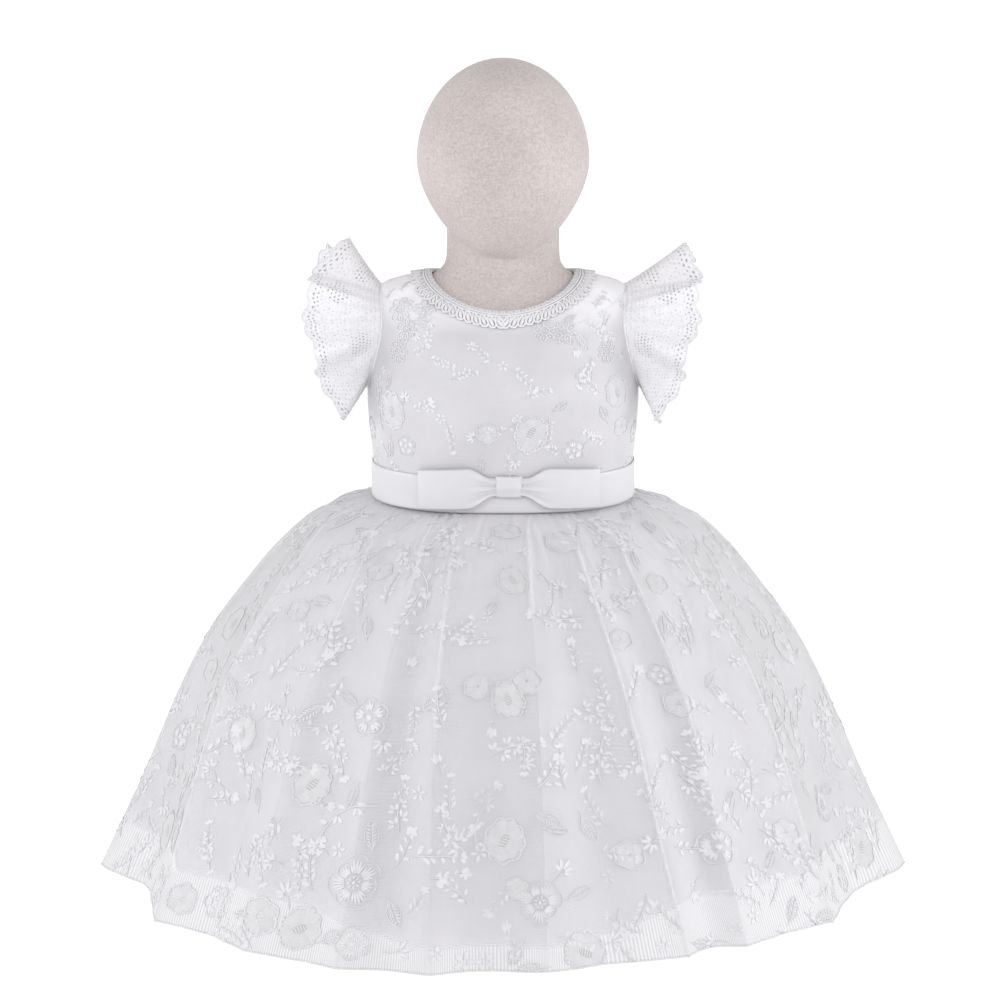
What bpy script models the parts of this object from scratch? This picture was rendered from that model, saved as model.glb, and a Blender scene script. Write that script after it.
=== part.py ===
"""A christening gown of embroidered net over satin, standing filled out on a limbless baby dress form.

The gown has a fitted bodice of a front and two backs, a full skirt of net over a plain lining, two
flutter sleeves of lace, a braid round the neck, and a satin sash with a flat bow. The form is a
torso, neck and head in one, on a pole and a round base that the skirt hides.

Run it with: blender --background --python part.py

Metres, +Z up. The front faces -Y and the wearer's left is +X. The origin is on the floor, in the
middle of the base's underside. Angles go round the body in degrees from the centre front: 90 is the
+X side and 180 the centre back.
"""

import math
from collections import namedtuple

import bmesh
import bpy
from mathutils import Matrix, Vector

# Cloth
WALL = 0.0012  # thickness of each cloth wall
RIBBON_WALL = 0.0010  # thickness of the sash's and the bow's satin
BRAID_WALL = 0.0014
BRAID_GAP = 0.0006  # between the braid and the bodice
SEAM_GAP = 0.00036  # between two pieces that are sewn edge to edge
LAY_GAP = 0.00035  # between a piece and the piece that it lies on

# Bodice
WAIST = 0.2870  # height of the waist seam
ARMHOLE_BOTTOM = 3.0  # levels of BODY between which the armhole is cut
ARMHOLE_TOP = 6.0
ARMHOLE_FRONT_CUT = 22.0  # how far the armhole reaches round the front and the back, in degrees
ARMHOLE_BACK_CUT = 20.0
NECKLINE = 8.0  # level of BODY
FRONT_COLUMNS = 18
BACK_COLUMNS = 9
BODICE_LEVELS = (0, 0.5, 1, 1.5, 2.2, 3, 3.1, 3.4, 3.9, 4.5, 5.1, 5.6, 5.9, 6, 6.65, 7.3, 8)

# Skirt
SKIRT_TOP = WAIST - SEAM_GAP
LINING_INSET_WAIST = 0.0020  # how far the lining's face lies behind the net's
LINING_INSET_HEM = 0.0095
LINING_CRISPNESS = 0.75  # its pleats' edges against those of the net
WAIST_TUCK = 0.0014  # height of the tucks just below the waist
TUCK_MIDDLE = 0.10  # share of the skirt's length at which they are deepest
FAN_POWER = 14  # how soon the pleats fan out below the waist
NET_SHARES = (0, 0.03, 0.07, 0.125, 0.20, 0.30, 0.42, 0.56, 0.70, 0.85, 1.0)  # of the way to the hem
LINING_SHARES = (0, 0.03, 0.07, 0.125, 0.20, 0.30, 0.42, 0.65, 0.945)
COLUMNS_PER_PLEAT_SIDE = 3
LINING_COLUMNS_PER_PLEAT_SIDE = 2

# Sleeves
RUFFLE_START = 24.0  # degrees round the armhole from its bottom, in front and behind
RUFFLE_COLUMNS = 54
RUFFLE_ROWS = 3
RUFFLE_WAVES = 7.5
RUFFLE_WAVE_HEIGHT = 0.0075
RUFFLE_SCALLOP = 0.0016

# Neck braid
BRAID_END = 171.5  # degrees from the centre front
BRAID_ROWS = 2
BRAID_LOBES = 32
BRAID_LOBE_COLUMNS = 3
BRAID_LOBE_LEVELS = 0.16
BRAID_FRONT_LEVELS = 1.25  # its depth below the neckline, in levels of BODY
BRAID_SIDE_LEVELS = 0.80

# Sash and bow
SASH_BOTTOM = 0.04  # levels of BODY
SASH_TOP = 0.98
SASH_END = 179.75
SASH_COLUMNS = 48
BOW_LEVEL = 0.50
BOW_MIDDLE = 3.0  # degrees from the centre front
BOW_START = 4.0  # degrees from the bow's middle
BOW_END = 46.0
BOW_END_RISE = 0.0035  # of its middle line above the sash's
BOW_KNOT_RISE = 0.0075
WING_HALF_HEIGHT = 0.0134
WING_PINCH = 0.0038  # half height inside the knot
WING_OPEN_FROM = 0.10  # shares of its length
WING_OPEN_BY = 0.42
WING_DEPTH = 0.0062
WING_PLEAT = 0.0003
KNOT_HALF_WIDTH = 0.0095
KNOT_HALF_HEIGHT = 0.0068
KNOT_DEPTH = 0.0070

# Back closing
PLACKET_HALF_ANGLE = 6.5
PLACKET_BOTTOM = 1.10
PLACKET_TOP = 7.95
BUTTON_RADIUS = 0.0050
BUTTON_HALF_DEPTH = 0.0015
BUTTON_LEVELS = (2.0, 4.0, 6.6)

# Stand
BASE_RADIUS = 0.085
BASE_HEIGHT = 0.008
BASE_EDGE = 0.0025
POLE_RADIUS = 0.008
FORM_BOTTOM = 0.1600
FORM_COLUMNS = 32
FORM_LEVELS = (0, 1, 2.2, 3, 4, 5.1, 6, 6.65, 7.3, 8)  # of BODY

# Head
HEAD_MIDDLE = Vector((0.0, -0.004, 0.532))
HEAD_HALF_SIZE = Vector((0.062, 0.072, 0.073))
HEAD_NARROWING = 0.26  # of the width towards the chin
CHIN_FORWARD = 0.010

Section = namedtuple("Section", "height half_width front back front_drop back_drop squareness")

# The bodice's outer face from the waist seam to the neckline. A drop lowers the middle of a ring.
BODY = (
    Section(WAIST, 0.0945, 0.0745, 0.0665, 0.000, 0.000, 2.30),  # waist seam
    Section(0.3140, 0.0945, 0.0755, 0.0665, 0.000, 0.000, 2.30),  # top of the sash
    Section(0.3430, 0.0975, 0.0780, 0.0675, 0.000, 0.000, 2.35),  # chest
    Section(0.3660, 0.0985, 0.0785, 0.0680, 0.002, 0.001, 2.40),  # underarm
    Section(0.3980, 0.0965, 0.0760, 0.0665, 0.009, 0.005, 2.40),  # middle of the armhole
    Section(0.4240, 0.0930, 0.0722, 0.0640, 0.021, 0.012, 2.35),
    Section(0.4405, 0.0875, 0.0680, 0.0600, 0.029, 0.015, 2.30),  # shoulder tip
    Section(0.4470, 0.0715, 0.0620, 0.0550, 0.0255, 0.012, 2.15),  # middle of the shoulder
    Section(0.4495, 0.0520, 0.0550, 0.0500, 0.0200, 0.008, 2.05),  # neckline
)
# How far the form lies behind the bodice's outer face at each of those levels.
FORM_INSETS = (0.0060, 0.0052, 0.0045, 0.0041, 0.0036, 0.0030, 0.0022, 0.0019, 0.0019)

HIPS = (
    Section(FORM_BOTTOM, 0.0520, 0.0420, 0.0400, 0.0, 0.0, 2.0),
    Section(0.1640, 0.0740, 0.0610, 0.0570, 0.0, 0.0, 2.1),
    Section(0.1800, 0.0885, 0.0745, 0.0700, 0.0, 0.0, 2.2),
    Section(0.2100, 0.0935, 0.0785, 0.0730, 0.0, 0.0, 2.3),
    Section(0.2450, 0.0915, 0.0750, 0.0680, 0.0, 0.0, 2.3),
    Section(0.2680, 0.0885, 0.0695, 0.0615, 0.0, 0.0, 2.3),
)
NECK = (
    Section(0.4520, 0.0455, 0.0480, 0.0445, 0.0160, 0.004, 2.0),
    Section(0.4580, 0.0415, 0.0425, 0.0420, 0.0110, 0.001, 2.0),
    Section(0.4700, 0.0405, 0.0395, 0.0410, 0.0050, 0.000, 2.0),
    Section(0.4950, 0.0405, 0.0380, 0.0400, 0.0000, 0.000, 2.0),
)

SkirtRing = namedtuple("SkirtRing", "drop half_width front back")

# The skirt's mean face, at equal steps down its slope.
SKIRT = (
    SkirtRing(0.0000, 0.0945, 0.0745, 0.0665),
    SkirtRing(0.0127, 0.1355, 0.1094, 0.1019),
    SkirtRing(0.0356, 0.1646, 0.1395, 0.1326),
    SkirtRing(0.0659, 0.1904, 0.1634, 0.1569),
    SkirtRing(0.0981, 0.2142, 0.1855, 0.1793),
    SkirtRing(0.1337, 0.2335, 0.2026, 0.1967),
    SkirtRing(0.1708, 0.2500, 0.2174, 0.2117),
    SkirtRing(0.2085, 0.2655, 0.2312, 0.2258),
    SkirtRing(0.2457, 0.2822, 0.2467, 0.2414),
    SkirtRing(0.2822, 0.2988, 0.2620, 0.2570),
)

# Where each pleat's edge or hollow starts at the waist, where it has fanned out to just below it and
# where it ends at the hem, in degrees; how far it stands out from the mean face half way down and at
# the hem; and how crisp it is.
PleatLine = namedtuple("PleatLine", "waist upper hem middle bottom crispness")

FRONT_PLEATS = (
    PleatLine(-90.0, -90.5, -91.0, -0.002, 0.000, 0.8),  # side seam
    PleatLine(-87.5, -77.0, -76.0, -0.014, -0.031, 0.0),
    PleatLine(-84.5, -62.5, -57.0, 0.004, -0.004, 1.6),
    PleatLine(-70.0, -50.0, -47.0, -0.006, -0.012, 0.0),
    PleatLine(-54.5, -38.2, -37.0, 0.003, 0.002, 0.9),
    PleatLine(-43.0, -30.5, -29.5, -0.003, 0.002, 0.0),
    PleatLine(-30.5, -22.5, -22.0, 0.003, 0.010, 0.9),
    PleatLine(-25.0, -18.4, -16.0, -0.002, 0.004, 0.0),
    PleatLine(-19.6, -14.4, -9.5, 0.003, 0.009, 0.8),
    PleatLine(-4.5, -4.0, -2.5, -0.004, -0.004, 0.0),
    PleatLine(12.0, 6.6, 6.0, 0.003, 0.000, 0.9),
    PleatLine(20.5, 13.0, 16.5, -0.005, -0.012, 0.0),
    PleatLine(28.7, 19.3, 26.5, 0.002, -0.010, 1.6),
    PleatLine(38.0, 26.0, 31.5, -0.007, -0.022, 0.0),
    PleatLine(47.5, 32.0, 36.5, 0.002, -0.013, 1.3),
    PleatLine(62.0, 40.5, 45.5, -0.007, -0.019, 0.0),
    PleatLine(79.0, 50.0, 55.0, 0.004, -0.013, 1.8),
    PleatLine(86.0, 71.5, 72.0, -0.014, -0.032, 0.0),
    PleatLine(90.0, 91.0, 92.0, -0.002, 0.000, 0.8),  # side seam
)
BACK_PLEATS = (
    PleatLine(90.0, 91.0, 92.0, -0.002, 0.000, 0.8),  # side seam
    PleatLine(95.0, 107.0, 105.0, -0.013, -0.028, 0.0),
    PleatLine(103.0, 122.0, 120.0, 0.002, -0.003, 1.4),
    PleatLine(113.0, 131.0, 130.0, -0.007, -0.014, 0.0),
    PleatLine(124.0, 140.0, 141.0, 0.003, 0.003, 1.0),
    PleatLine(134.0, 148.0, 149.0, -0.005, -0.009, 0.0),
    PleatLine(143.0, 155.5, 156.0, 0.002, 0.006, 0.9),
    PleatLine(152.0, 162.5, 163.0, -0.006, -0.010, 0.0),
    PleatLine(161.0, 169.5, 170.0, 0.002, 0.004, 1.3),
    PleatLine(171.0, 177.0, 177.0, -0.007, -0.015, 0.0),
    PleatLine(180.0, 183.5, 184.0, 0.001, -0.002, 0.9),
    PleatLine(190.0, 191.5, 192.0, -0.005, -0.008, 0.0),
    PleatLine(200.0, 200.0, 200.0, 0.003, 0.006, 1.1),
    PleatLine(209.0, 207.5, 208.0, -0.006, -0.012, 0.0),
    PleatLine(219.0, 216.0, 217.0, 0.002, 0.002, 1.5),
    PleatLine(230.0, 226.0, 227.0, -0.007, -0.011, 0.0),
    PleatLine(243.0, 238.0, 240.0, 0.002, -0.004, 1.2),
    PleatLine(257.0, 253.0, 254.0, -0.014, -0.029, 0.0),
    PleatLine(270.0, 269.5, 269.0, -0.002, 0.000, 0.8),  # side seam
)

# The way the ruffle stands out at equal steps round the armhole, from the underarm over the shoulder
# to the back: shares of a unit vector outwards, forwards and upwards, and the lace's width.
RuffleRay = namedtuple("RuffleRay", "outward forward upward width")

RUFFLE = (
    RuffleRay(0.48, 0.22, -0.83, 0.031),
    RuffleRay(0.74, 0.38, -0.50, 0.039),
    RuffleRay(0.92, 0.38, -0.02, 0.050),
    RuffleRay(0.90, 0.24, 0.33, 0.050),
    RuffleRay(0.68, 0.02, 0.73, 0.043),
    RuffleRay(0.90, -0.22, 0.35, 0.050),
    RuffleRay(0.92, -0.38, 0.00, 0.050),
    RuffleRay(0.74, -0.38, -0.48, 0.040),
    RuffleRay(0.48, -0.22, -0.80, 0.032),
)

Finish = namedtuple("Finish", "red green blue roughness metallic")

FINISHES = {
    "embroidered_net": Finish(0.93, 0.93, 0.95, 0.75, 0.0),
    "satin_lining": Finish(0.86, 0.86, 0.89, 0.55, 0.0),
    "eyelet_lace": Finish(0.95, 0.95, 0.96, 0.80, 0.0),
    "gimp_braid": Finish(0.95, 0.95, 0.95, 0.70, 0.0),
    "satin_ribbon": Finish(0.93, 0.93, 0.95, 0.35, 0.0),
    "pearl_button": Finish(0.94, 0.93, 0.91, 0.25, 0.0),
    "linen_form": Finish(0.84, 0.80, 0.78, 0.90, 0.0),
    "painted_metal": Finish(0.85, 0.85, 0.85, 0.45, 0.0),
}


def curve_through(before, start, end, after, part):
    """A smooth curve's value between start and end, given the values on either side of them."""
    slope_in = (end - before) / 2
    slope_out = (after - start) / 2
    square = part * part
    cube = square * part
    return (
        start * (2 * cube - 3 * square + 1)
        + slope_in * (cube - 2 * square + part)
        + end * (3 * square - 2 * cube)
        + slope_out * (cube - square)
    )


def row_between(table, position):
    """The table's row at a fractional row number, each column on a smooth curve through its values."""
    last = len(table) - 1
    low = min(int(position), last - 1)
    near = [table[min(max(low + step, 0), last)] for step in (-1, 0, 1, 2)]
    return type(near[0])(*(curve_through(*column, position - low) for column in zip(*near)))


def mix(start, end, share):
    return start + (end - start) * share


def ring_point(section, angle):
    """A point of a body section's rounded outline at an angle in degrees."""
    sine = math.sin(math.radians(angle))
    cosine = math.cos(math.radians(angle))
    depth = section.front if cosine > 0 else section.back
    drop = section.front_drop if cosine > 0 else section.back_drop
    power = section.squareness
    reach = (abs(sine / section.half_width) ** power + abs(cosine / depth) ** power) ** (-1 / power)
    return Vector((reach * sine, -reach * cosine, section.height - drop * abs(cosine) ** 1.5))


def body_normal(level, angle):
    """The outward direction of the bodice's outer face."""
    ring = row_between(BODY, level)
    round_it = ring_point(ring, angle + 1) - ring_point(ring, angle - 1)
    low, high = max(level - 0.05, 0), min(level + 0.05, NECKLINE)
    up_it = ring_point(row_between(BODY, high), angle) - ring_point(row_between(BODY, low), angle)
    return round_it.cross(up_it).normalized()


def body_point(level, angle, out=0.0):
    """A point at a distance out from the bodice's outer face."""
    return ring_point(row_between(BODY, level), angle) + body_normal(level, angle) * out


def skirt_base(angle, share):
    """A point of the skirt's mean face, at a share of its length below the waist."""
    ring = row_between(SKIRT, share * (len(SKIRT) - 1))
    sine = math.sin(math.radians(angle))
    cosine = math.cos(math.radians(angle))
    depth = ring.front if cosine > 0 else ring.back
    return Vector((ring.half_width * sine, -depth * cosine, SKIRT_TOP - ring.drop))


def pleat_offset(line, share):
    """How far a pleat line stands out from the mean face."""
    tuck = WAIST_TUCK if line.crispness > 0 else -WAIST_TUCK
    tuck *= math.exp(-(((share - TUCK_MIDDLE) / TUCK_MIDDLE) ** 2)) * min(1.0, share / TUCK_MIDDLE)
    return line.middle * 4 * share * (1 - share) + line.bottom * share * (2 * share - 1) + tuck


def skirt_point(pleats, position, share, inset, softened=1.0):
    """A point of a skirt layer: position counts pleat lines, share runs from waist to hem, and inset
    is the distance behind the net's face."""
    low = min(int(position), len(pleats) - 2)
    part = position - low
    first, second = pleats[low], pleats[low + 1]
    fan = (1 - share) ** FAN_POWER
    angles = [mix(mix(line.upper, line.hem, share), line.waist, fan) for line in (first, second)]
    angle = mix(*angles, part)
    lean = (
        (3 - 2 * part) * part * part
        + first.crispness * softened * (part**3 - 2 * part**2 + part)
        + second.crispness * softened * (part**3 - part**2)
    )
    offset = mix(pleat_offset(first, share), pleat_offset(second, share), lean)
    step = 0.004
    base = skirt_base(angle, share)
    round_it = skirt_base(angle + 1, share) - skirt_base(angle - 1, share)
    up_it = skirt_base(angle, max(share - step, 0)) - skirt_base(angle, min(share + step, 1))
    sideways = round_it.cross(Vector((0, 0, 1))).normalized()
    return base + sideways * offset - round_it.cross(up_it).normalized() * inset


def armhole_point(turn, out):
    """A point on the +X armhole's edge, a distance out from the bodice. turn goes in degrees from the
    underarm up the front, over the shoulder tip at 180 and down the back."""
    share = (1 - math.cos(math.radians(turn))) / 2
    level = mix(ARMHOLE_BOTTOM, ARMHOLE_TOP, share)
    cut = ARMHOLE_FRONT_CUT if turn < 180 else ARMHOLE_BACK_CUT
    return body_point(level, 90 - cut * math.sin(math.radians(turn)), out)


def material_of(name):
    found = bpy.data.materials.get(name)
    if found:
        return found
    finish = FINISHES[name]
    made = bpy.data.materials.new(name)
    made.use_nodes = True
    shader = made.node_tree.nodes["Principled BSDF"]
    shader.inputs["Base Color"].default_value = (finish.red, finish.green, finish.blue, 1.0)
    shader.inputs["Roughness"].default_value = finish.roughness
    shader.inputs["Metallic"].default_value = finish.metallic
    return made


def add_object(name, shape, material):
    """Turns a bmesh into a named object with its material."""
    bmesh.ops.recalc_face_normals(shape, faces=shape.faces)
    mesh = bpy.data.meshes.new(name)
    shape.to_mesh(mesh)
    shape.free()
    mesh.shade_smooth()
    mesh.set_sharp_from_angle(angle=math.radians(50))
    mesh.materials.append(material_of(material))
    made = bpy.data.objects.new(name, mesh)
    bpy.context.scene.collection.objects.link(made)
    return made


def add_cloth(name, columns, rows, place, thickness, material):
    """A cloth wall. place(across, up, depth) gives the point at shares of the panel's width and height,
    a depth behind its face."""
    cloth = bmesh.new()
    bmesh.ops.create_grid(cloth, x_segments=columns, y_segments=rows, size=0.5)
    raised = bmesh.ops.extrude_face_region(cloth, geom=cloth.faces[:], use_keep_orig=True)
    face_points = {item for item in raised["geom"] if isinstance(item, bmesh.types.BMVert)}
    for point in cloth.verts:
        depth = 0.0 if point in face_points else thickness
        point.co = place(point.co.x + 0.5, point.co.y + 0.5, depth)
    return add_object(name, cloth, material)


def add_bodice_panel(name, columns, first_angle, last_angle):
    """A bodice panel between two angles, cut away at the armholes that it borders."""

    def edge_angle(angle, level):
        """The panel's edge at a level: in from the side by the armhole, and in from the seam."""
        share = (level - ARMHOLE_BOTTOM) / (ARMHOLE_TOP - ARMHOLE_BOTTOM)
        inwards = 1 if angle == first_angle else -1
        seam = math.degrees(SEAM_GAP / 2 / row_between(BODY, level).half_width)
        cut = 0.0
        if abs(angle) == 90 and 0 < share < 1:
            in_front = abs((first_angle + last_angle) / 2) < 90
            reach = ARMHOLE_FRONT_CUT if in_front else ARMHOLE_BACK_CUT
            cut = reach * 2 * math.sqrt(share * (1 - share))
        return angle + inwards * (cut + seam)

    def place(across, up, depth):
        row = up * (len(BODICE_LEVELS) - 1)
        level = BODICE_LEVELS[round(row)]
        angle = mix(edge_angle(first_angle, level), edge_angle(last_angle, level), across)
        return body_point(level, angle, -depth)

    add_cloth(name, columns, len(BODICE_LEVELS) - 1, place, WALL, "embroidered_net")


def add_skirt_panel(name, pleats, columns_per_side, shares, insets, softened, material):
    """A half of a skirt layer, between its side seams. insets are those at the waist and at the hem."""

    def place(across, up, depth):
        share = shares[round((1 - up) * (len(shares) - 1))]
        position = across * (len(pleats) - 1)
        behind = mix(*insets, share) + depth
        point = skirt_point(pleats, position, share, behind, softened)
        if across in (0.0, 1.0):
            inner = skirt_point(pleats, abs(position - 0.5), share, behind, softened)
            point += (inner - point).normalized() * SEAM_GAP / 2
        return point

    columns = columns_per_side * (len(pleats) - 1)
    add_cloth(name, columns, len(shares) - 1, place, WALL, material)


def add_sleeve(name, side):
    """A flutter sleeve: a strip of lace gathered to the armhole, with its free edge scalloped."""

    def place(across, up, depth):
        turn = mix(RUFFLE_START, 360 - RUFFLE_START, across)
        ray = row_between(RUFFLE, across * (len(RUFFLE) - 1))
        root = armhole_point(turn, LAY_GAP + WALL / 2)
        along = armhole_point(turn + 2, 0) - armhole_point(turn - 2, 0)
        way = Vector((ray.outward, -ray.forward, ray.upward)).normalized()
        across_way = along.cross(way).normalized()
        free = 1 - up
        scallop = RUFFLE_SCALLOP * (1 if round(across * RUFFLE_COLUMNS) % 2 else -1) * (free > 0.99)
        wave = math.sin(math.radians(360 * RUFFLE_WAVES * across + 60)) * RUFFLE_WAVE_HEIGHT * free**1.3
        point = root + way * (ray.width * free + scallop) + across_way * (wave + WALL / 2 - depth)
        return Vector((point.x * side, point.y, point.z))

    add_cloth(name, RUFFLE_COLUMNS, RUFFLE_ROWS, place, WALL, "eyelet_lace")


def add_neck_braid():
    """A gimp braid that follows the neckline, its lower edge in lobes."""

    def place(across, up, depth):
        angle = mix(-BRAID_END, BRAID_END, across)
        to_front = abs(math.cos(math.radians(angle)))
        lobe = math.cos(math.radians(360 * BRAID_LOBES * across)) * BRAID_LOBE_LEVELS
        low = NECKLINE - mix(BRAID_SIDE_LEVELS, BRAID_FRONT_LEVELS, to_front) + lobe
        return body_point(mix(low, NECKLINE, up), angle, BRAID_GAP + BRAID_WALL - depth)

    columns = BRAID_LOBES * BRAID_LOBE_COLUMNS
    add_cloth("neck_braid", columns, BRAID_ROWS, place, BRAID_WALL, "gimp_braid")


def add_sash():
    """The satin sash round the waist, open at the centre back."""

    def place(across, up, depth):
        angle = mix(-SASH_END, SASH_END, across)
        return body_point(mix(SASH_BOTTOM, SASH_TOP, up), angle, LAY_GAP + RIBBON_WALL - depth)

    add_cloth("sash", SASH_COLUMNS, 2, place, RIBBON_WALL, "satin_ribbon")


def on_sash(angle, rise, out):
    """A point out from the sash's face, at a height above the sash's middle. angle is from the bow's."""
    level = BOW_LEVEL + rise / (BODY[1].height - BODY[0].height)
    return body_point(level, BOW_MIDDLE + angle, LAY_GAP * 2 + RIBBON_WALL + out)


def add_bow_wing(name, side):
    """A flat loop of ribbon: out along the front, round its end and back in next to the sash."""

    def face(across, up):
        turn = math.radians(180 * across)
        reach = math.sin(turn)
        before = 1 if across < 0.5 else -1
        opened = min(max((reach - WING_OPEN_FROM) / (WING_OPEN_BY - WING_OPEN_FROM), 0.0), 1.0)
        opened = opened * opened * (3 - 2 * opened)
        half_height = mix(WING_PINCH, WING_HALF_HEIGHT, opened)
        depth = WING_DEPTH * (0.5 + 0.5 * math.sin(math.pi * min(reach, 0.75) / 1.5))
        out = depth * (1 + before * abs(math.cos(turn)) ** 0.35) / 2
        pleat = WING_PLEAT * (1 + math.cos(math.radians(1080 * up))) * (1 - opened) * (across < 0.5)
        rise = mix(BOW_KNOT_RISE, BOW_END_RISE, reach) + (up * 2 - 1) * half_height
        return on_sash(side * mix(BOW_START, BOW_END, reach), rise, out + pleat)

    def place(across, up, depth):
        step = 0.004
        along = face(min(across + step, 1), up) - face(max(across - step, 0), up)
        upwards = face(across, min(up + step, 1)) - face(across, max(up - step, 0))
        return face(across, up) - along.cross(upwards).normalized() * depth * side

    add_cloth(name, 18, 4, place, RIBBON_WALL, "satin_ribbon")


def add_bow_knot():
    """The short band that wraps the middle of the bow."""

    def place(across, up, depth):
        turn = math.radians(180 * up)
        rise = BOW_KNOT_RISE - math.cos(turn) * (KNOT_HALF_HEIGHT - depth)
        out = math.sin(turn) ** 0.4 * (KNOT_DEPTH - depth) if 0 < up < 1 else 0.0
        x = mix(-KNOT_HALF_WIDTH, KNOT_HALF_WIDTH, across)
        return on_sash(math.degrees(x / row_between(BODY, BOW_LEVEL).front), rise, out)

    add_cloth("bow_knot", 4, 12, place, RIBBON_WALL, "satin_ribbon")


def add_placket():
    """The strip down the centre back that the buttons are sewn to."""

    def place(across, up, depth):
        angle = 180 + mix(-PLACKET_HALF_ANGLE, PLACKET_HALF_ANGLE, across)
        return body_point(mix(PLACKET_BOTTOM, PLACKET_TOP, up), angle, LAY_GAP + RIBBON_WALL - depth)

    add_cloth("back_placket", 3, 13, place, RIBBON_WALL, "satin_ribbon")


def add_button(number, level):
    shape = bmesh.new()
    bmesh.ops.create_uvsphere(shape, u_segments=12, v_segments=6, radius=1.0)
    bmesh.ops.scale(shape, vec=(BUTTON_RADIUS, BUTTON_RADIUS, BUTTON_HALF_DEPTH), verts=shape.verts)
    button = add_object(f"back_button_{number}", shape, "pearl_button")
    out = LAY_GAP * 2 + RIBBON_WALL + BUTTON_HALF_DEPTH
    facing = body_normal(level, 180)
    button.location = body_point(level, 180, out)
    button.rotation_mode = "QUATERNION"
    button.rotation_quaternion = facing.to_track_quat("Z", "Y")


def add_form():
    """The torso and neck as one skin, with the head joined on."""
    rings = [lambda angle, section=section: ring_point(section, angle) for section in HIPS]
    for level in FORM_LEVELS:
        near = min(int(level), len(FORM_INSETS) - 2)
        inset = mix(FORM_INSETS[near], FORM_INSETS[near + 1], level - near)
        rings.append(lambda angle, level=level, inset=inset: body_point(level, angle, -inset))
    rings += [lambda angle, section=section: ring_point(section, angle) for section in NECK]
    skin = bmesh.new()
    bmesh.ops.create_grid(skin, x_segments=FORM_COLUMNS, y_segments=len(rings) - 1, size=0.5)
    for point in skin.verts:
        ring = rings[round((point.co.y + 0.5) * (len(rings) - 1))]
        point.co = ring(360 * (point.co.x + 0.5))
    bmesh.ops.remove_doubles(skin, verts=skin.verts, dist=1e-6)
    bmesh.ops.holes_fill(skin, edges=skin.edges)
    form = add_object("dress_form", skin, "linen_form")

    egg = bmesh.new()
    bmesh.ops.create_uvsphere(egg, u_segments=26, v_segments=16, radius=1.0)
    for point in egg.verts:
        low = max(0.0, -point.co.z)
        width = HEAD_HALF_SIZE.x * (1 - HEAD_NARROWING * low**1.5)
        depth = HEAD_HALF_SIZE.y * (1 - 0.12 * low)
        x, y, z = point.co.x * width, point.co.y * depth - CHIN_FORWARD * low, point.co.z * HEAD_HALF_SIZE.z
        point.co = HEAD_MIDDLE + Vector((x, y, z))
    head = add_object("head_guide", egg, "linen_form")
    head.hide_render = True
    head.display_type = "WIRE"
    join = form.modifiers.new("join head", "BOOLEAN")
    join.operation = "UNION"
    join.object = head


def round_bar(radius, bottom, top, sides):
    """A closed upright cylinder."""
    bar = bmesh.new()
    middle = Matrix.Translation((0, 0, (bottom + top) / 2))
    size = {"radius1": radius, "radius2": radius, "depth": top - bottom}
    bmesh.ops.create_cone(bar, cap_ends=True, segments=sides, matrix=middle, **size)
    return bar


def add_stand():
    """The round base on the floor, and the pole that carries the form."""
    base = round_bar(BASE_RADIUS, 0.0, BASE_HEIGHT, 32)
    rim = [edge for edge in base.edges if all(point.co.z > BASE_HEIGHT / 2 for point in edge.verts)]
    bmesh.ops.bevel(base, geom=rim, offset=BASE_EDGE, segments=2, profile=0.5, affect="EDGES", material=-1)
    add_object("stand_base", base, "painted_metal")
    pole = round_bar(POLE_RADIUS, BASE_HEIGHT + LAY_GAP, FORM_BOTTOM - LAY_GAP, 20)
    add_object("stand_pole", pole, "painted_metal")


def main():
    for old in list(bpy.data.objects):
        bpy.data.objects.remove(old)
    add_stand()
    add_form()
    add_bodice_panel("bodice_front", FRONT_COLUMNS, -90, 90)
    add_bodice_panel("bodice_back_left", BACK_COLUMNS, 90, 180)
    add_bodice_panel("bodice_back_right", BACK_COLUMNS, -180, -90)
    lining = (LINING_INSET_WAIST, LINING_INSET_HEM)
    for half, pleats in (("front", FRONT_PLEATS), ("back", BACK_PLEATS)):
        columns = COLUMNS_PER_PLEAT_SIDE
        add_skirt_panel(f"skirt_net_{half}", pleats, columns, NET_SHARES, (0, 0), 1, "embroidered_net")
        columns = LINING_COLUMNS_PER_PLEAT_SIDE
        name = f"skirt_lining_{half}"
        add_skirt_panel(name, pleats, columns, LINING_SHARES, lining, LINING_CRISPNESS, "satin_lining")
    add_sleeve("sleeve_left", 1)
    add_sleeve("sleeve_right", -1)
    add_neck_braid()
    add_sash()
    add_bow_wing("bow_wing_left", 1)
    add_bow_wing("bow_wing_right", -1)
    add_bow_knot()
    add_placket()
    for number, level in enumerate(BUTTON_LEVELS, 1):
        add_button(number, level)


main()
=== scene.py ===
"""Dresses the christening gown: net, satin, embroidery, lace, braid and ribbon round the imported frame.

It is laid out as a Blender add-on, with one operator for each piece or group of like pieces and a
panel that lists them, and it is run as a script. Metres, +Z up. The front faces -Y and the wearer's
left is +X. Angles go round the body in degrees from the centre front, as in the part's own source.
"""

import math

import bmesh
import bpy
import numpy as np
from mathutils import Matrix, Vector


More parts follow.
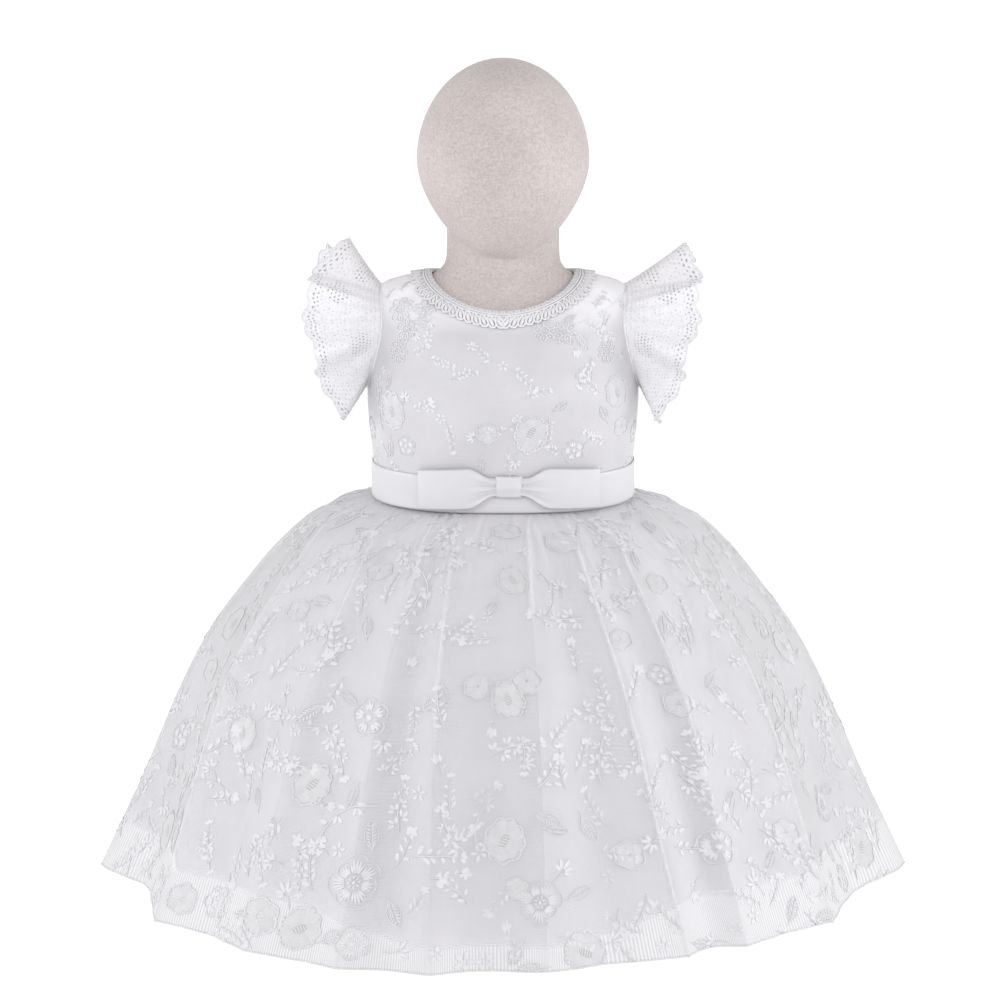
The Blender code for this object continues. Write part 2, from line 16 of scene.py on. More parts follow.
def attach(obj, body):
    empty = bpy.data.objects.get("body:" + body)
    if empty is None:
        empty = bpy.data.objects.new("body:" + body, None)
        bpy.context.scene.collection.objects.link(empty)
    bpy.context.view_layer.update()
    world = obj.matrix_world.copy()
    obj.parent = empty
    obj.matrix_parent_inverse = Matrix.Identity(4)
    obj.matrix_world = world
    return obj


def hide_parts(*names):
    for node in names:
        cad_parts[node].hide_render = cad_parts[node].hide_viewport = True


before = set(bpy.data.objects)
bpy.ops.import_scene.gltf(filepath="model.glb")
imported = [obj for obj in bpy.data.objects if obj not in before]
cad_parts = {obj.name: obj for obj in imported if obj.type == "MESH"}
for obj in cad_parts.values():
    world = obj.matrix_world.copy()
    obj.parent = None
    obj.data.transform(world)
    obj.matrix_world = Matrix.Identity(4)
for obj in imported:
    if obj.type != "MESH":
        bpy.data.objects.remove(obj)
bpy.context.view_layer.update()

bl_info = {
    "name": "Christening gown",
    "version": (1, 0, 0),
    "blender": (4, 5, 0),
    "location": "3D View > Sidebar > Gown",
    "description": "Makes the cloth, lace, embroidery and ribbon of a christening gown",
    "category": "Object",
}

# ---- The gown's measures, which repeat those of the part's source ----

WALL = 0.0012
RIBBON_WALL = 0.0010
BRAID_WALL = 0.0014
BRAID_GAP = 0.0006
SEAM_GAP = 0.00036
LAY_GAP = 0.00035

WAIST = 0.2870
ARMHOLE_BOTTOM = 3.0
ARMHOLE_TOP = 6.0
ARMHOLE_FRONT_CUT = 22.0
ARMHOLE_BACK_CUT = 20.0
NECKLINE = 8.0

SKIRT_TOP = WAIST - SEAM_GAP
LINING_INSET_WAIST = 0.0020
LINING_INSET_HEM = 0.0095
LINING_CRISPNESS = 0.75
LINING_ENDS = (0.945, 0.890)
WAIST_TUCK = 0.0014
TUCK_MIDDLE = 0.10
FAN_POWER = 14

RUFFLE_START = 24.0
RUFFLE_WAVES = 7.5
RUFFLE_WAVE_HEIGHT = 0.0075

BRAID_END = 171.5
BRAID_FRONT_LEVELS = 1.25
BRAID_SIDE_LEVELS = 0.80

SASH_BOTTOM = 0.04
SASH_TOP = 0.98
SASH_END = 179.75
SASH_WAVE = 0.00022
SASH_EDGE = 0.00055
BOW_LEVEL = 0.50
BOW_MIDDLE = 3.0
BOW_START = 4.0
BOW_END = 46.0
BOW_END_RISE = 0.0035
BOW_KNOT_RISE = 0.0075
WING_HALF_HEIGHT = 0.0134
WING_PINCH = 0.0038
WING_OPEN_FROM = 0.10
WING_OPEN_BY = 0.42
WING_DEPTH = 0.0036
KNOT_HALF_WIDTH = 0.0095
KNOT_HALF_HEIGHT = 0.0068
KNOT_DEPTH = 0.0070

PLACKET_HALF_ANGLE = 6.5
PLACKET_BOTTOM = 1.10
PLACKET_TOP = 7.95
BUTTON_RADIUS = 0.0050
BUTTON_LEVELS = (2.0, 4.0, 6.6)
# share of the radius, and height
BUTTON_PROFILE = (
    (0.0, 0.0009), (0.55, 0.0008), (0.72, 0.0011), (0.86, 0.0016), (0.95, 0.0014), (1.0, 0.0008),
    (0.97, 0.0001), (0.80, -0.0003), (0.0, -0.0003),
)

# flat pieces as cut: width and length
BRAID_STRIP = (0.36, 0.012)
SASH_STRIP = (0.535, 0.0256)
WING_STRIP = (0.11, 0.0268)
KNOT_STRIP = (0.019, 0.025)
PLACKET_STRIP = (0.0155, 0.143)
BODICE_LENGTH = 0.163
BODICE_RADIUS = 0.0905

FORM_BOTTOM = 0.1600
HEAD_MIDDLE = np.array((0.0, -0.004, 0.532))
HEAD_HALF_SIZE = np.array((0.062, 0.072, 0.073))
HEAD_NARROWING = 0.26
CHIN_FORWARD = 0.010


def table(*rows):
    """Rows of numbers as an array."""
    return np.array(rows)


# height, half width, front, back, front drop, back drop, squareness
BODY = table(
    (WAIST, 0.0945, 0.0745, 0.0665, 0.000, 0.000, 2.30),
    (0.3140, 0.0945, 0.0755, 0.0665, 0.000, 0.000, 2.30),
    (0.3430, 0.0975, 0.0780, 0.0675, 0.000, 0.000, 2.35),
    (0.3660, 0.0985, 0.0785, 0.0680, 0.002, 0.001, 2.40),
    (0.3980, 0.0965, 0.0760, 0.0665, 0.009, 0.005, 2.40),
    (0.4240, 0.0930, 0.0722, 0.0640, 0.021, 0.012, 2.35),
    (0.4405, 0.0875, 0.0680, 0.0600, 0.029, 0.015, 2.30),
    (0.4470, 0.0715, 0.0620, 0.0550, 0.0255, 0.012, 2.15),
    (0.4495, 0.0520, 0.0550, 0.0500, 0.0200, 0.008, 2.05),
)
FORM_INSETS = np.array((0.0060, 0.0052, 0.0045, 0.0041, 0.0036, 0.0030, 0.0022, 0.0019, 0.0019))
HIPS = table(
    (FORM_BOTTOM, 0.0520, 0.0420, 0.0400, 0.0, 0.0, 2.0),
    (0.1640, 0.0740, 0.0610, 0.0570, 0.0, 0.0, 2.1),
    (0.1800, 0.0885, 0.0745, 0.0700, 0.0, 0.0, 2.2),
    (0.2100, 0.0935, 0.0785, 0.0730, 0.0, 0.0, 2.3),
    (0.2450, 0.0915, 0.0750, 0.0680, 0.0, 0.0, 2.3),
    (0.2680, 0.0885, 0.0695, 0.0615, 0.0, 0.0, 2.3),
)
NECK = table(
    (0.4520, 0.0455, 0.0480, 0.0445, 0.0160, 0.004, 2.0),
    (0.4580, 0.0415, 0.0425, 0.0420, 0.0110, 0.001, 2.0),
    (0.4700, 0.0405, 0.0395, 0.0410, 0.0050, 0.000, 2.0),
    (0.4950, 0.0405, 0.0380, 0.0400, 0.0000, 0.000, 2.0),
)
# drop, half width, front, back
SKIRT = table(
    (0.0000, 0.0945, 0.0745, 0.0665),
    (0.0127, 0.1355, 0.1094, 0.1019),
    (0.0356, 0.1646, 0.1395, 0.1326),
    (0.0659, 0.1904, 0.1634, 0.1569),
    (0.0981, 0.2142, 0.1855, 0.1793),
    (0.1337, 0.2335, 0.2026, 0.1967),
    (0.1708, 0.2500, 0.2174, 0.2117),
    (0.2085, 0.2655, 0.2312, 0.2258),
    (0.2457, 0.2822, 0.2467, 0.2414),
    (0.2822, 0.2988, 0.2620, 0.2570),
)
# angle at the waist, just below it and at the hem, height half way down and at the hem, crispness,
# and the share of the skirt's length down to which its crease shows
FRONT_PLEATS = table(
    (-90.0, -90.5, -91.0, -0.002, 0.000, 0.8, 1.1),
    (-87.5, -77.0, -76.0, -0.014, -0.031, 0.0, 0.0),
    (-84.5, -62.5, -57.0, 0.004, -0.004, 1.6, 1.1),
    (-70.0, -50.0, -47.0, -0.006, -0.012, 0.0, 0.0),
    (-54.5, -38.2, -37.0, 0.003, 0.002, 0.9, 0.34),
    (-43.0, -30.5, -29.5, -0.003, 0.002, 0.0, 0.0),
    (-30.5, -22.5, -22.0, 0.003, 0.010, 0.9, 0.27),
    (-25.0, -18.4, -16.0, -0.002, 0.004, 0.0, 0.0),
    (-19.6, -14.4, -9.5, 0.003, 0.009, 0.8, 0.55),
    (-4.5, -4.0, -2.5, -0.004, -0.004, 0.0, 0.0),
    (12.0, 6.6, 6.0, 0.003, 0.000, 0.9, 0.29),
    (20.5, 13.0, 16.5, -0.005, -0.012, 0.0, 0.0),
    (28.7, 19.3, 26.5, 0.002, -0.010, 1.6, 1.1),
    (38.0, 26.0, 31.5, -0.007, -0.022, 0.0, 0.0),
    (47.5, 32.0, 36.5, 0.002, -0.013, 1.3, 0.55),
    (62.0, 40.5, 45.5, -0.007, -0.019, 0.0, 0.0),
    (79.0, 50.0, 55.0, 0.004, -0.013, 1.8, 1.1),
    (86.0, 71.5, 72.0, -0.014, -0.032, 0.0, 0.0),
    (90.0, 91.0, 92.0, -0.002, 0.000, 0.8, 1.1),
)
BACK_PLEATS = table(
    (90.0, 91.0, 92.0, -0.002, 0.000, 0.8, 1.1),
    (95.0, 107.0, 105.0, -0.013, -0.028, 0.0, 0.0),
    (103.0, 122.0, 120.0, 0.002, -0.003, 1.4, 1.1),
    (113.0, 131.0, 130.0, -0.007, -0.014, 0.0, 0.0),
    (124.0, 140.0, 141.0, 0.003, 0.003, 1.0, 0.45),
    (134.0, 148.0, 149.0, -0.005, -0.009, 0.0, 0.0),
    (143.0, 155.5, 156.0, 0.002, 0.006, 0.9, 0.3),
    (152.0, 162.5, 163.0, -0.006, -0.010, 0.0, 0.0),
    (161.0, 169.5, 170.0, 0.002, 0.004, 1.3, 1.1),
    (171.0, 177.0, 177.0, -0.007, -0.015, 0.0, 0.0),
    (180.0, 183.5, 184.0, 0.001, -0.002, 0.9, 0.4),
    (190.0, 191.5, 192.0, -0.005, -0.008, 0.0, 0.0),
    (200.0, 200.0, 200.0, 0.003, 0.006, 1.1, 0.6),
    (209.0, 207.5, 208.0, -0.006, -0.012, 0.0, 0.0),
    (219.0, 216.0, 217.0, 0.002, 0.002, 1.5, 1.1),
    (230.0, 226.0, 227.0, -0.007, -0.011, 0.0, 0.0),
    (243.0, 238.0, 240.0, 0.002, -0.004, 1.2, 1.1),
    (257.0, 253.0, 254.0, -0.014, -0.029, 0.0, 0.0),
    (270.0, 269.5, 269.0, -0.002, 0.000, 0.8, 1.1),
)
# outward, forward, upward, width
RUFFLES = {
    1: table(
        (0.38, 0.22, -0.90, 0.031), (0.70, 0.38, -0.55, 0.041), (0.92, 0.38, -0.04, 0.053),
        (0.93, 0.24, 0.25, 0.056), (0.86, 0.02, 0.51, 0.052), (0.93, -0.22, 0.25, 0.054),
        (0.92, -0.38, 0.00, 0.052), (0.74, -0.38, -0.48, 0.041), (0.42, -0.22, -0.85, 0.032),
    ),
    -1: table(
        (0.46, 0.22, -0.84, 0.030), (0.76, 0.38, -0.46, 0.043), (0.93, 0.38, 0.00, 0.056),
        (0.92, 0.24, 0.30, 0.054), (0.64, 0.02, 0.76, 0.040), (0.90, -0.22, 0.35, 0.052),
        (0.92, -0.38, 0.00, 0.052), (0.74, -0.38, -0.48, 0.041), (0.48, -0.22, -0.80, 0.032),
    ),
}

# ---- The cloth's surfaces, for whole arrays of points at once ----

SKIRT_SLOPE = 0.353  # length of the skirt from waist to hem, along its face
CREASE_HEIGHT = 0.0008
CREASE_WIDTH = 0.0011
CREASE_FADE = 0.10  # share of the skirt over which a crease dies away
GATHER_HEIGHT = 0.0011
GATHER_REACH = 0.14  # share of the skirt's length over which the gathers die away
RIPPLE_HEIGHT = 0.0009
PUCKER_HEIGHT = 0.0015
TUCK_HEIGHT = 0.0002
ARMHOLE_MIDDLE = (ARMHOLE_BOTTOM + ARMHOLE_TOP) / 2


def mix(start, end, share):
    return start + (end - start) * share


def unit(vectors):
    return vectors / np.linalg.norm(vectors, axis=-1, keepdims=True)


def eased(share):
    """0 to 1 with level ends."""
    share = np.clip(share, 0.0, 1.0)
    return share * share * (3 - 2 * share)


def curve_through(before, start, end, after, part):
    """A smooth curve's value between start and end, given the values on either side of them."""
    slope_in = (end - before) / 2
    slope_out = (after - start) / 2
    square = part * part
    cube = square * part
    return (
        start * (2 * cube - 3 * square + 1)
        + slope_in * (cube - 2 * square + part)
        + end * (3 * square - 2 * cube)
        + slope_out * (cube - square)
    )


def smooth_rows(table, position):
    """The table's columns at fractional row numbers, each on a smooth curve through its values."""
    position = np.asarray(position, dtype=float)
    last = len(table) - 1
    low = np.clip(np.floor(position).astype(int), 0, last - 1)
    near = [table[np.clip(low + step, 0, last)] for step in (-1, 0, 1, 2)]
    return np.moveaxis(curve_through(*near, (position - low)[..., None]), -1, 0)


def ring_point(ring, angle):
    """Points of a body section's rounded outline at angles in degrees."""
    height, half_width, front, back, front_drop, back_drop, power = ring
    sine, cosine = np.sin(np.radians(angle)), np.cos(np.radians(angle))
    depth = np.where(cosine > 0, front, back)
    drop = np.where(cosine > 0, front_drop, back_drop)
    reach = (np.abs(sine / half_width) ** power + np.abs(cosine / depth) ** power) ** (-1 / power)
    return np.stack((reach * sine, -reach * cosine, height - drop * np.abs(cosine) ** 1.5), axis=-1)


def body_normal(level, angle):
    ring = smooth_rows(BODY, level)
    round_it = ring_point(ring, angle + 1) - ring_point(ring, angle - 1)
    low, high = np.maximum(level - 0.05, 0), np.minimum(level + 0.05, NECKLINE)
    up_it = ring_point(smooth_rows(BODY, high), angle) - ring_point(smooth_rows(BODY, low), angle)
    return unit(np.cross(round_it, up_it))


def body_point(level, angle, out=0.0):
    """Points at a distance out from the bodice's outer face."""
    level = np.clip(np.asarray(level, dtype=float), 0, NECKLINE)
    level, angle = np.broadcast_arrays(level, np.asarray(angle, dtype=float))
    out = np.asarray(out, dtype=float)[..., None]
    return ring_point(smooth_rows(BODY, level), angle) + body_normal(level, angle) * out


def skirt_base(angle, share):
    """Points of the skirt's mean face, at a share of its length below the waist."""
    drop, half_width, front, back = smooth_rows(SKIRT, share * (len(SKIRT) - 1))
    sine, cosine = np.sin(np.radians(angle)), np.cos(np.radians(angle))
    depth = np.where(cosine > 0, front, back)
    return np.stack((half_width * sine, -depth * cosine, SKIRT_TOP - drop), axis=-1)


def pleat_offset(line, share):
    """How far a pleat line stands out from the mean face."""
    crisp = np.where(line[..., 5] > 0, WAIST_TUCK, -WAIST_TUCK)
    below = share / TUCK_MIDDLE
    tuck = crisp * np.exp(-((below - 1) ** 2)) * np.minimum(1, below)
    return line[..., 3] * 4 * share * (1 - share) + line[..., 4] * share * (2 * share - 1) + tuck


def line_angle(line, share):
    return mix(mix(line[..., 1], line[..., 2], share), line[..., 0], (1 - share) ** FAN_POWER)


def pleat_position(pleats, angle, share):
    """The count of pleat lines at angles."""
    lines = line_angle(pleats, share[..., None])
    low = np.clip(np.sum(lines <= angle[..., None], axis=-1) - 1, 0, len(pleats) - 2)
    start = np.take_along_axis(lines, low[..., None], -1)[..., 0]
    end = np.take_along_axis(lines, low[..., None] + 1, -1)[..., 0]
    return low + np.clip((angle - start) / (end - start), 0.0, 1.0)


def small_folds(angle, share):
    """Gathers below the waist seam and faint ripples further down."""
    turn = np.radians(angle)
    gathers = np.sin(101 * turn + 1.4 * np.sin(7 * turn))
    gathers = gathers + 0.7 * np.sin(67 * turn + 2.1 * np.sin(5 * turn + 1))
    near = np.exp(-((share / GATHER_REACH) ** 1.5)) * np.minimum(1, share / 0.012)
    ripples = np.sin(29 * turn + 2.5 * share + 1.5 * np.sin(9 * turn))
    ripples = ripples * np.sin(17 * turn + 0.6 - 3 * share)
    lower = eased(share / 0.4) * (0.5 + 0.5 * share)
    return gathers * near * GATHER_HEIGHT + ripples * lower * RIPPLE_HEIGHT


def skirt_point(pleats, position, share, inset, softened=1.0, detail=1.0):
    """Points of a skirt layer and how far each one lies on a crease. position counts pleat lines,
    share runs from waist to hem, and inset is the distance behind the net's face."""
    position, share = np.broadcast_arrays(np.asarray(position, float), np.asarray(share, float))
    low = np.clip(np.floor(position).astype(int), 0, len(pleats) - 2)
    part = position - low
    first, second = pleats[low], pleats[low + 1]
    angles = (line_angle(first, share), line_angle(second, share))
    angle = mix(*angles, part)
    lean = (
        (3 - 2 * part) * part * part
        + first[..., 5] * softened * (part**3 - 2 * part**2 + part)
        + second[..., 5] * softened * (part**3 - part**2)
    )
    offset = mix(pleat_offset(first, share), pleat_offset(second, share), lean)
    base = skirt_base(angle, share)
    degree = np.linalg.norm(base[..., :2], axis=-1) * math.pi / 180
    fold = np.zeros_like(angle)
    for line, line_at in ((first, angles[0]), (second, angles[1])):
        shown = np.minimum(line[..., 5], 1.0) * eased((line[..., 6] - share) / CREASE_FADE + 0.5)
        fold = np.maximum(fold, shown * np.exp(-(((angle - line_at) * degree / CREASE_WIDTH) ** 2)))
    fold = fold * eased(share / 0.06)
    offset = offset + detail * (fold * CREASE_HEIGHT + small_folds(angle, share))
    step = 0.004
    round_it = skirt_base(angle + 1, share) - skirt_base(angle - 1, share)
    above, below = np.maximum(share - step, 0), np.minimum(share + step, 1)
    up_it = skirt_base(angle, above) - skirt_base(angle, below)
    sideways = unit(np.cross(round_it, np.array((0.0, 0.0, 1.0))))
    behind = unit(np.cross(round_it, up_it)) * np.asarray(inset, dtype=float)[..., None]
    return base + sideways * offset[..., None] - behind, fold


def on_skirt(pleats, angle, share, height):
    """Points a height above the net's face, at angles and shares of the skirt's length."""

    def face(at_angle, at_share):
        at_share = np.clip(at_share, 0.0, 1.0)
        return skirt_point(pleats, pleat_position(pleats, at_angle, at_share), at_share, 0.0)[0]

    across = face(angle + 0.15, share) - face(angle - 0.15, share)
    up = face(angle, share - 0.002) - face(angle, share + 0.002)
    return face(angle, share) + unit(np.cross(across, up)) * height[..., None]


def bodice_folds(level, angle):
    """Soft drag folds of the bodice's cloth: from the braid to the sleeves, and up from the sash."""
    side = np.abs(angle)
    shoulder = eased((level - 4.9) / 1.4) * eased((NECKLINE - 0.4 - level) / 0.8)
    shoulder = shoulder * eased((side - 22) / 25) * np.where(side > 90, 0.6, 1.0)
    pucker = np.sin(np.radians(side * 9 + level * 75))
    pucker = pucker + 0.7 * np.sin(np.radians(side * 15 - level * 95 + 60))
    pucker = np.maximum(pucker, 0.0) ** 1.3
    waist = np.exp(-(((level - 1.0) / 0.5) ** 2))
    tucks = np.sin(np.radians(angle * 13)) * 0.6 + np.sin(np.radians(angle * 21 + 40)) * 0.4
    return pucker * shoulder * PUCKER_HEIGHT + tucks * waist * TUCK_HEIGHT


def armhole_point(turn, out):
    """Points on the +X armhole's edge. turn goes in degrees from the underarm up the front, over the
    shoulder tip at 180 and down the back."""
    level = mix(ARMHOLE_BOTTOM, ARMHOLE_TOP, (1 - np.cos(np.radians(turn))) / 2)
    cut = np.where(turn < 180, ARMHOLE_FRONT_CUT, ARMHOLE_BACK_CUT)
    return body_point(level, 90 - cut * np.sin(np.radians(turn)), out)


def on_sash(angle, rise, out):
    """Points out from the sash's face, at heights above the sash's middle. angle is from the bow's."""
    level = BOW_LEVEL + rise / (BODY[1][0] - BODY[0][0])
    return body_point(level, BOW_MIDDLE + angle, LAY_GAP * 2 + RIBBON_WALL + out)


# ---- Making meshes ----

UV_NAME = "cloth"
# the attribute of painted light and shade: a share between a finish's shaded and lit colours
PAINTED_LIGHT_NAME = "lit"
CORD_PAINTED_LIGHT = (0.5, 0.85, 1.0)  # painted light and shade: a cord's tone underneath, at its sides and on top
CORD_TIP = 0.35  # share of a cord's radius that is left at its ends


def to_object(name, shape, smooth_angle=60):
    """Turns a bmesh into a piece of the scene."""
    mesh = bpy.data.meshes.new(name)
    shape.to_mesh(mesh)
    shape.free()
    mesh.shade_smooth()
    mesh.set_sharp_from_angle(angle=math.radians(smooth_angle))
    made = bpy.data.objects.new(name, mesh)
    bpy.context.scene.collection.objects.link(made)
    return made


def points_of(mesh):
    """A mesh's points, as an array."""
    points = np.empty(len(mesh.vertices) * 3)
    mesh.vertices.foreach_get("co", points)
    return points.reshape(-1, 3)


def put_points(mesh, points):
    mesh.vertices.foreach_set("co", np.ascontiguousarray(points, dtype=np.float32).ravel())
    mesh.update()


def new_shape():
    """A bmesh with its map of the cloth and its tone."""
    shape = bmesh.new()
    shape.loops.layers.uv.new(UV_NAME)
    shape.verts.layers.float.new(PAINTED_LIGHT_NAME)
    return shape


def map_cloth(shape, faces, width, length):
    """Maps faces to the cut cloth in metres. width and length are those of a unit of x and of y."""
    layer = shape.loops.layers.uv[UV_NAME]
    for face in faces:
        for loop in face.loops:
            loop[layer].uv = (loop.vert.co.x * width, loop.vert.co.y * length)


def add_sheet(name, columns, rows, place, size):
    """A sheet of cloth. place(across, up) gives its points at shares of its width and height, as an
    array. Its faces point out of the gown."""
    shape = new_shape()
    move = Matrix.Translation((0.5, 0.5, 0.0))
    bmesh.ops.create_grid(shape, x_segments=columns, y_segments=rows, size=0.5, matrix=move)
    map_cloth(shape, shape.faces, *size)
    made = to_object(name, shape, 75)
    flat = points_of(made.data)
    put_points(made.data, place(flat[:, 0], flat[:, 1]))
    return made


def thicken(piece, thickness, both_ways=False):
    """Gives a sheet its thickness, inwards from its face."""
    wall = piece.modifiers.new("thickness", "SOLIDIFY")
    wall.thickness = thickness
    wall.offset = 0.0 if both_ways else -1.0


def tube_along(shape, line, radius, sides=5, closed=False, over=None, unit_length=1.0):
    """A round cord along a line of points. over gives the way that its cloth faces, z by default, and
    unit_length the line's unit in metres."""
    line = np.asarray(line, dtype=float)
    count = len(line)
    steps = count - (not closed)
    before = np.roll(line, 1, axis=0) if closed else np.vstack((line[:1], line[:-1]))
    after = np.roll(line, -1, axis=0) if closed else np.vstack((line[1:], line[-1:]))
    along = unit(after - before)
    side = unit(np.cross(along, np.array((0.0, 0.0, 1.0)) if over is None else over))
    top = np.cross(side, along)
    thick = np.full(count, radius)
    if not closed:
        thick[0] = thick[-1] = radius * CORD_TIP
    length = np.concatenate(((0.0,), np.cumsum(np.linalg.norm(np.diff(line, axis=0), axis=1))))
    length = np.append(length, length[-1] + np.linalg.norm(line[0] - line[-1]))
    known = set(shape.faces)
    grid = bmesh.ops.create_grid(shape, x_segments=sides, y_segments=steps, size=0.5)
    layer = shape.loops.layers.uv[UV_NAME]
    lit = shape.verts.layers.float[PAINTED_LIGHT_NAME]
    new = {face for vert in grid["verts"] for face in vert.link_faces} - known
    for face in new:
        for loop in face.loops:
            at = round((loop.vert.co.y + 0.5) * steps)
            round_it = (loop.vert.co.x + 0.5) * radius * 6
            loop[layer].uv = (length[at] * unit_length, round_it * unit_length)
    # painted light and shade: the cord's colour share is high on top and low underneath
    under, beside, on_top = CORD_PAINTED_LIGHT
    for vert in grid["verts"]:
        turn = math.tau * (vert.co.x + 0.5)
        rise = math.sin(turn)
        vert[lit] = mix(beside, on_top, max(0.0, rise)) if rise > -0.1 else under
        at = round((vert.co.y + 0.5) * steps) % count
        vert.co = line[at] + (side[at] * math.cos(turn) + top[at] * rise) * thick[at]
    bmesh.ops.remove_doubles(shape, verts=grid["verts"], dist=radius * 0.02)
    if not closed:
        kept = [vert for vert in grid["verts"] if vert.is_valid]
        rims = {edge for vert in kept for edge in vert.link_edges if edge.is_boundary}
        bmesh.ops.holes_fill(shape, edges=list(rims))
    bmesh.ops.recalc_face_normals(shape, faces=[face for face in shape.faces if face not in known])


def declare(piece, finish, slot, *nodes):
    """Gives a piece its finish, hangs it on the gown's one body and hides the solids that it stands
    for. slot is not used."""
    piece.data.materials.append(finish)
    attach(piece, "root")
    if nodes:
        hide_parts(*nodes)


def cut_area(width, length, top_width):
    """The flat area of a piece that is cut narrower at its top."""
    return (width + top_width) / 2 * length


# ---- Finishes ----


def new_finish(name, colour, roughness, **sockets):
    """A material, its node tree and its shader, with the shader's own even values set."""
    material = bpy.data.materials.new(name)
    material.use_nodes = True
    shader = material.node_tree.nodes["Principled BSDF"]
    shader.inputs["Base Color"].default_value = (*colour, 1.0)
    shader.inputs["Roughness"].default_value = roughness
    for socket, value in sockets.items():
        shader.inputs[socket.replace("_", " ")].default_value = value
    return material, material.node_tree, shader


def node(tree, kind, inputs=(), **settings):
    """A shader node with its settings, and its inputs linked or given values."""
    made = tree.nodes.new("ShaderNode" + kind)
    for setting, value in settings.items():
        setattr(made, setting, value)
    for socket, value in dict(inputs).items():
        if isinstance(value, bpy.types.NodeSocket):
            tree.links.new(value, made.inputs[socket])
        else:
            made.inputs[socket].default_value = value
    return made


def maths(tree, operation, first, second=0.0):
    return node(tree, "Math", {0: first, 1: second}, operation=operation).outputs[0]


def scaled(tree, value, factor, plus=0.0):
    """A value times a factor, plus another value."""
    return node(tree, "Math", {0: value, 1: factor, 2: plus}, operation="MULTIPLY_ADD").outputs[0]


def attribute(tree, name):
    return node(tree, "Attribute", attribute_name=name).outputs["Fac"]


def cloth_map(tree):
    """The map of the cut cloth, in metres."""
    return node(tree, "UVMap", uv_map=UV_NAME).outputs[0]


def place_of(tree):
    return node(tree, "TexCoord").outputs["Object"]


def thread_lines(tree, where, turn, pitch, width):
    """1 on a set of parallel threads and 0 between them. width is the threads' share of the pitch."""
    way = (math.cos(math.radians(turn)) / pitch, math.sin(math.radians(turn)) / pitch, 0.0)
    across = node(tree, "VectorMath", {0: where, 1: way}, operation="DOT_PRODUCT").outputs["Value"]
    off = maths(tree, "ABSOLUTE", maths(tree, "SUBTRACT", maths(tree, "FRACT", across), 0.5))
    ramp = {"Value": off, "From Min": width / 2, "From Max": width / 2 + 0.12}
    return node(tree, "MapRange", {**ramp, "To Min": 1.0, "To Max": 0.0}).outputs[0]


def net_threads(tree, pitch, width):
    """A net's threads, in two crossed sets and one along the cloth."""
    where = cloth_map(tree)
    sets = [thread_lines(tree, where, turn, pitch, width) for turn in (30, 150, 90)]
    return maths(tree, "MAXIMUM", maths(tree, "MAXIMUM", sets[0], sets[1]), sets[2])


def clouds(tree, scale, detail=3.0, stretch=(1.0, 1.0, 1.0), where=None):
    """Soft noise from 0 to 1, over the object's own space or the map that where gives."""
    turned = node(tree, "Mapping", {"Vector": where or place_of(tree), "Scale": stretch}).outputs[0]
    noise = node(tree, "TexNoise", {"Vector": turned, "Scale": scale, "Detail": detail}).outputs[0]
    ramp = {"Value": noise, "From Min": 0.3, "From Max": 0.7}
    return node(tree, "MapRange", ramp).outputs[0]


def paint(tree, shader, share, first, second):
    """Colours the shader between two colours."""
    ends = {0: share, 6: (*first, 1.0), 7: (*second, 1.0)}
    mixed = node(tree, "Mix", ends, data_type="RGBA").outputs[2]
    tree.links.new(mixed, shader.inputs["Base Color"])


def emboss(tree, shader, height, distance, strength=1.0):
    bump = node(tree, "Bump", {"Height": height, "Distance": distance, "Strength": strength})
    tree.links.new(bump.outputs[0], shader.inputs["Normal"])


def shade(colour, factor):
    return tuple(min(channel * factor, 1.0) for channel in colour)


def net_finish(looks, sizes):
    """Fine net: threads with holes between them, closed up where a crease doubles it and, in faint
    stripes, where it hangs bare below the lining."""
    colour = looks.net_colour
    made, tree, shader = new_finish("gown_net", colour, 0.75, Sheen_Weight=0.6)
    threads = net_threads(tree, sizes.net_pitch, sizes.net_thread)
    bare = attribute(tree, "bare")
    stripes = thread_lines(tree, cloth_map(tree), 0, 0.0021, 0.35)
    worn = scaled(tree, clouds(tree, 130.0), 0.5, 0.4)
    solid = maths(tree, "MAXIMUM", threads, maths(tree, "MULTIPLY", attribute(tree, "fold"), worn))
    layered = maths(tree, "MULTIPLY", bare, scaled(tree, stripes, 0.12, 0.80))
    tree.links.new(maths(tree, "MAXIMUM", solid, layered), shader.inputs["Alpha"])
    doubled = maths(tree, "MULTIPLY", bare, scaled(tree, stripes, -0.75, 1.0))
    share = maths(tree, "MAXIMUM", scaled(tree, clouds(tree, 45.0), 0.16), doubled)
    paint(tree, shader, share, colour, shade(colour, 0.80))
    emboss(tree, shader, threads, 0.0001, 0.5)
    return made


def lining_finish(looks):
    """Dull satin: a close weave, a soft sheen and faint clouding."""
    colour = looks.lining_colour
    made, tree, shader = new_finish("gown_lining", colour, 0.5, Sheen_Weight=0.4, Anisotropic=0.3)
    where = cloth_map(tree)
    warp = thread_lines(tree, where, 0, 0.0005, 0.5)
    weave = maths(tree, "ADD", warp, thread_lines(tree, where, 90, 0.0009, 0.6))
    paint(tree, shader, clouds(tree, 14.0), shade(colour, 0.97), shade(colour, 1.02))
    emboss(tree, shader, weave, 0.00004, 0.6)
    return made


SHOULDER_PAINTED_LIGHT = (0.412, 0.432)  # heights between which the painted light on the shoulders begins


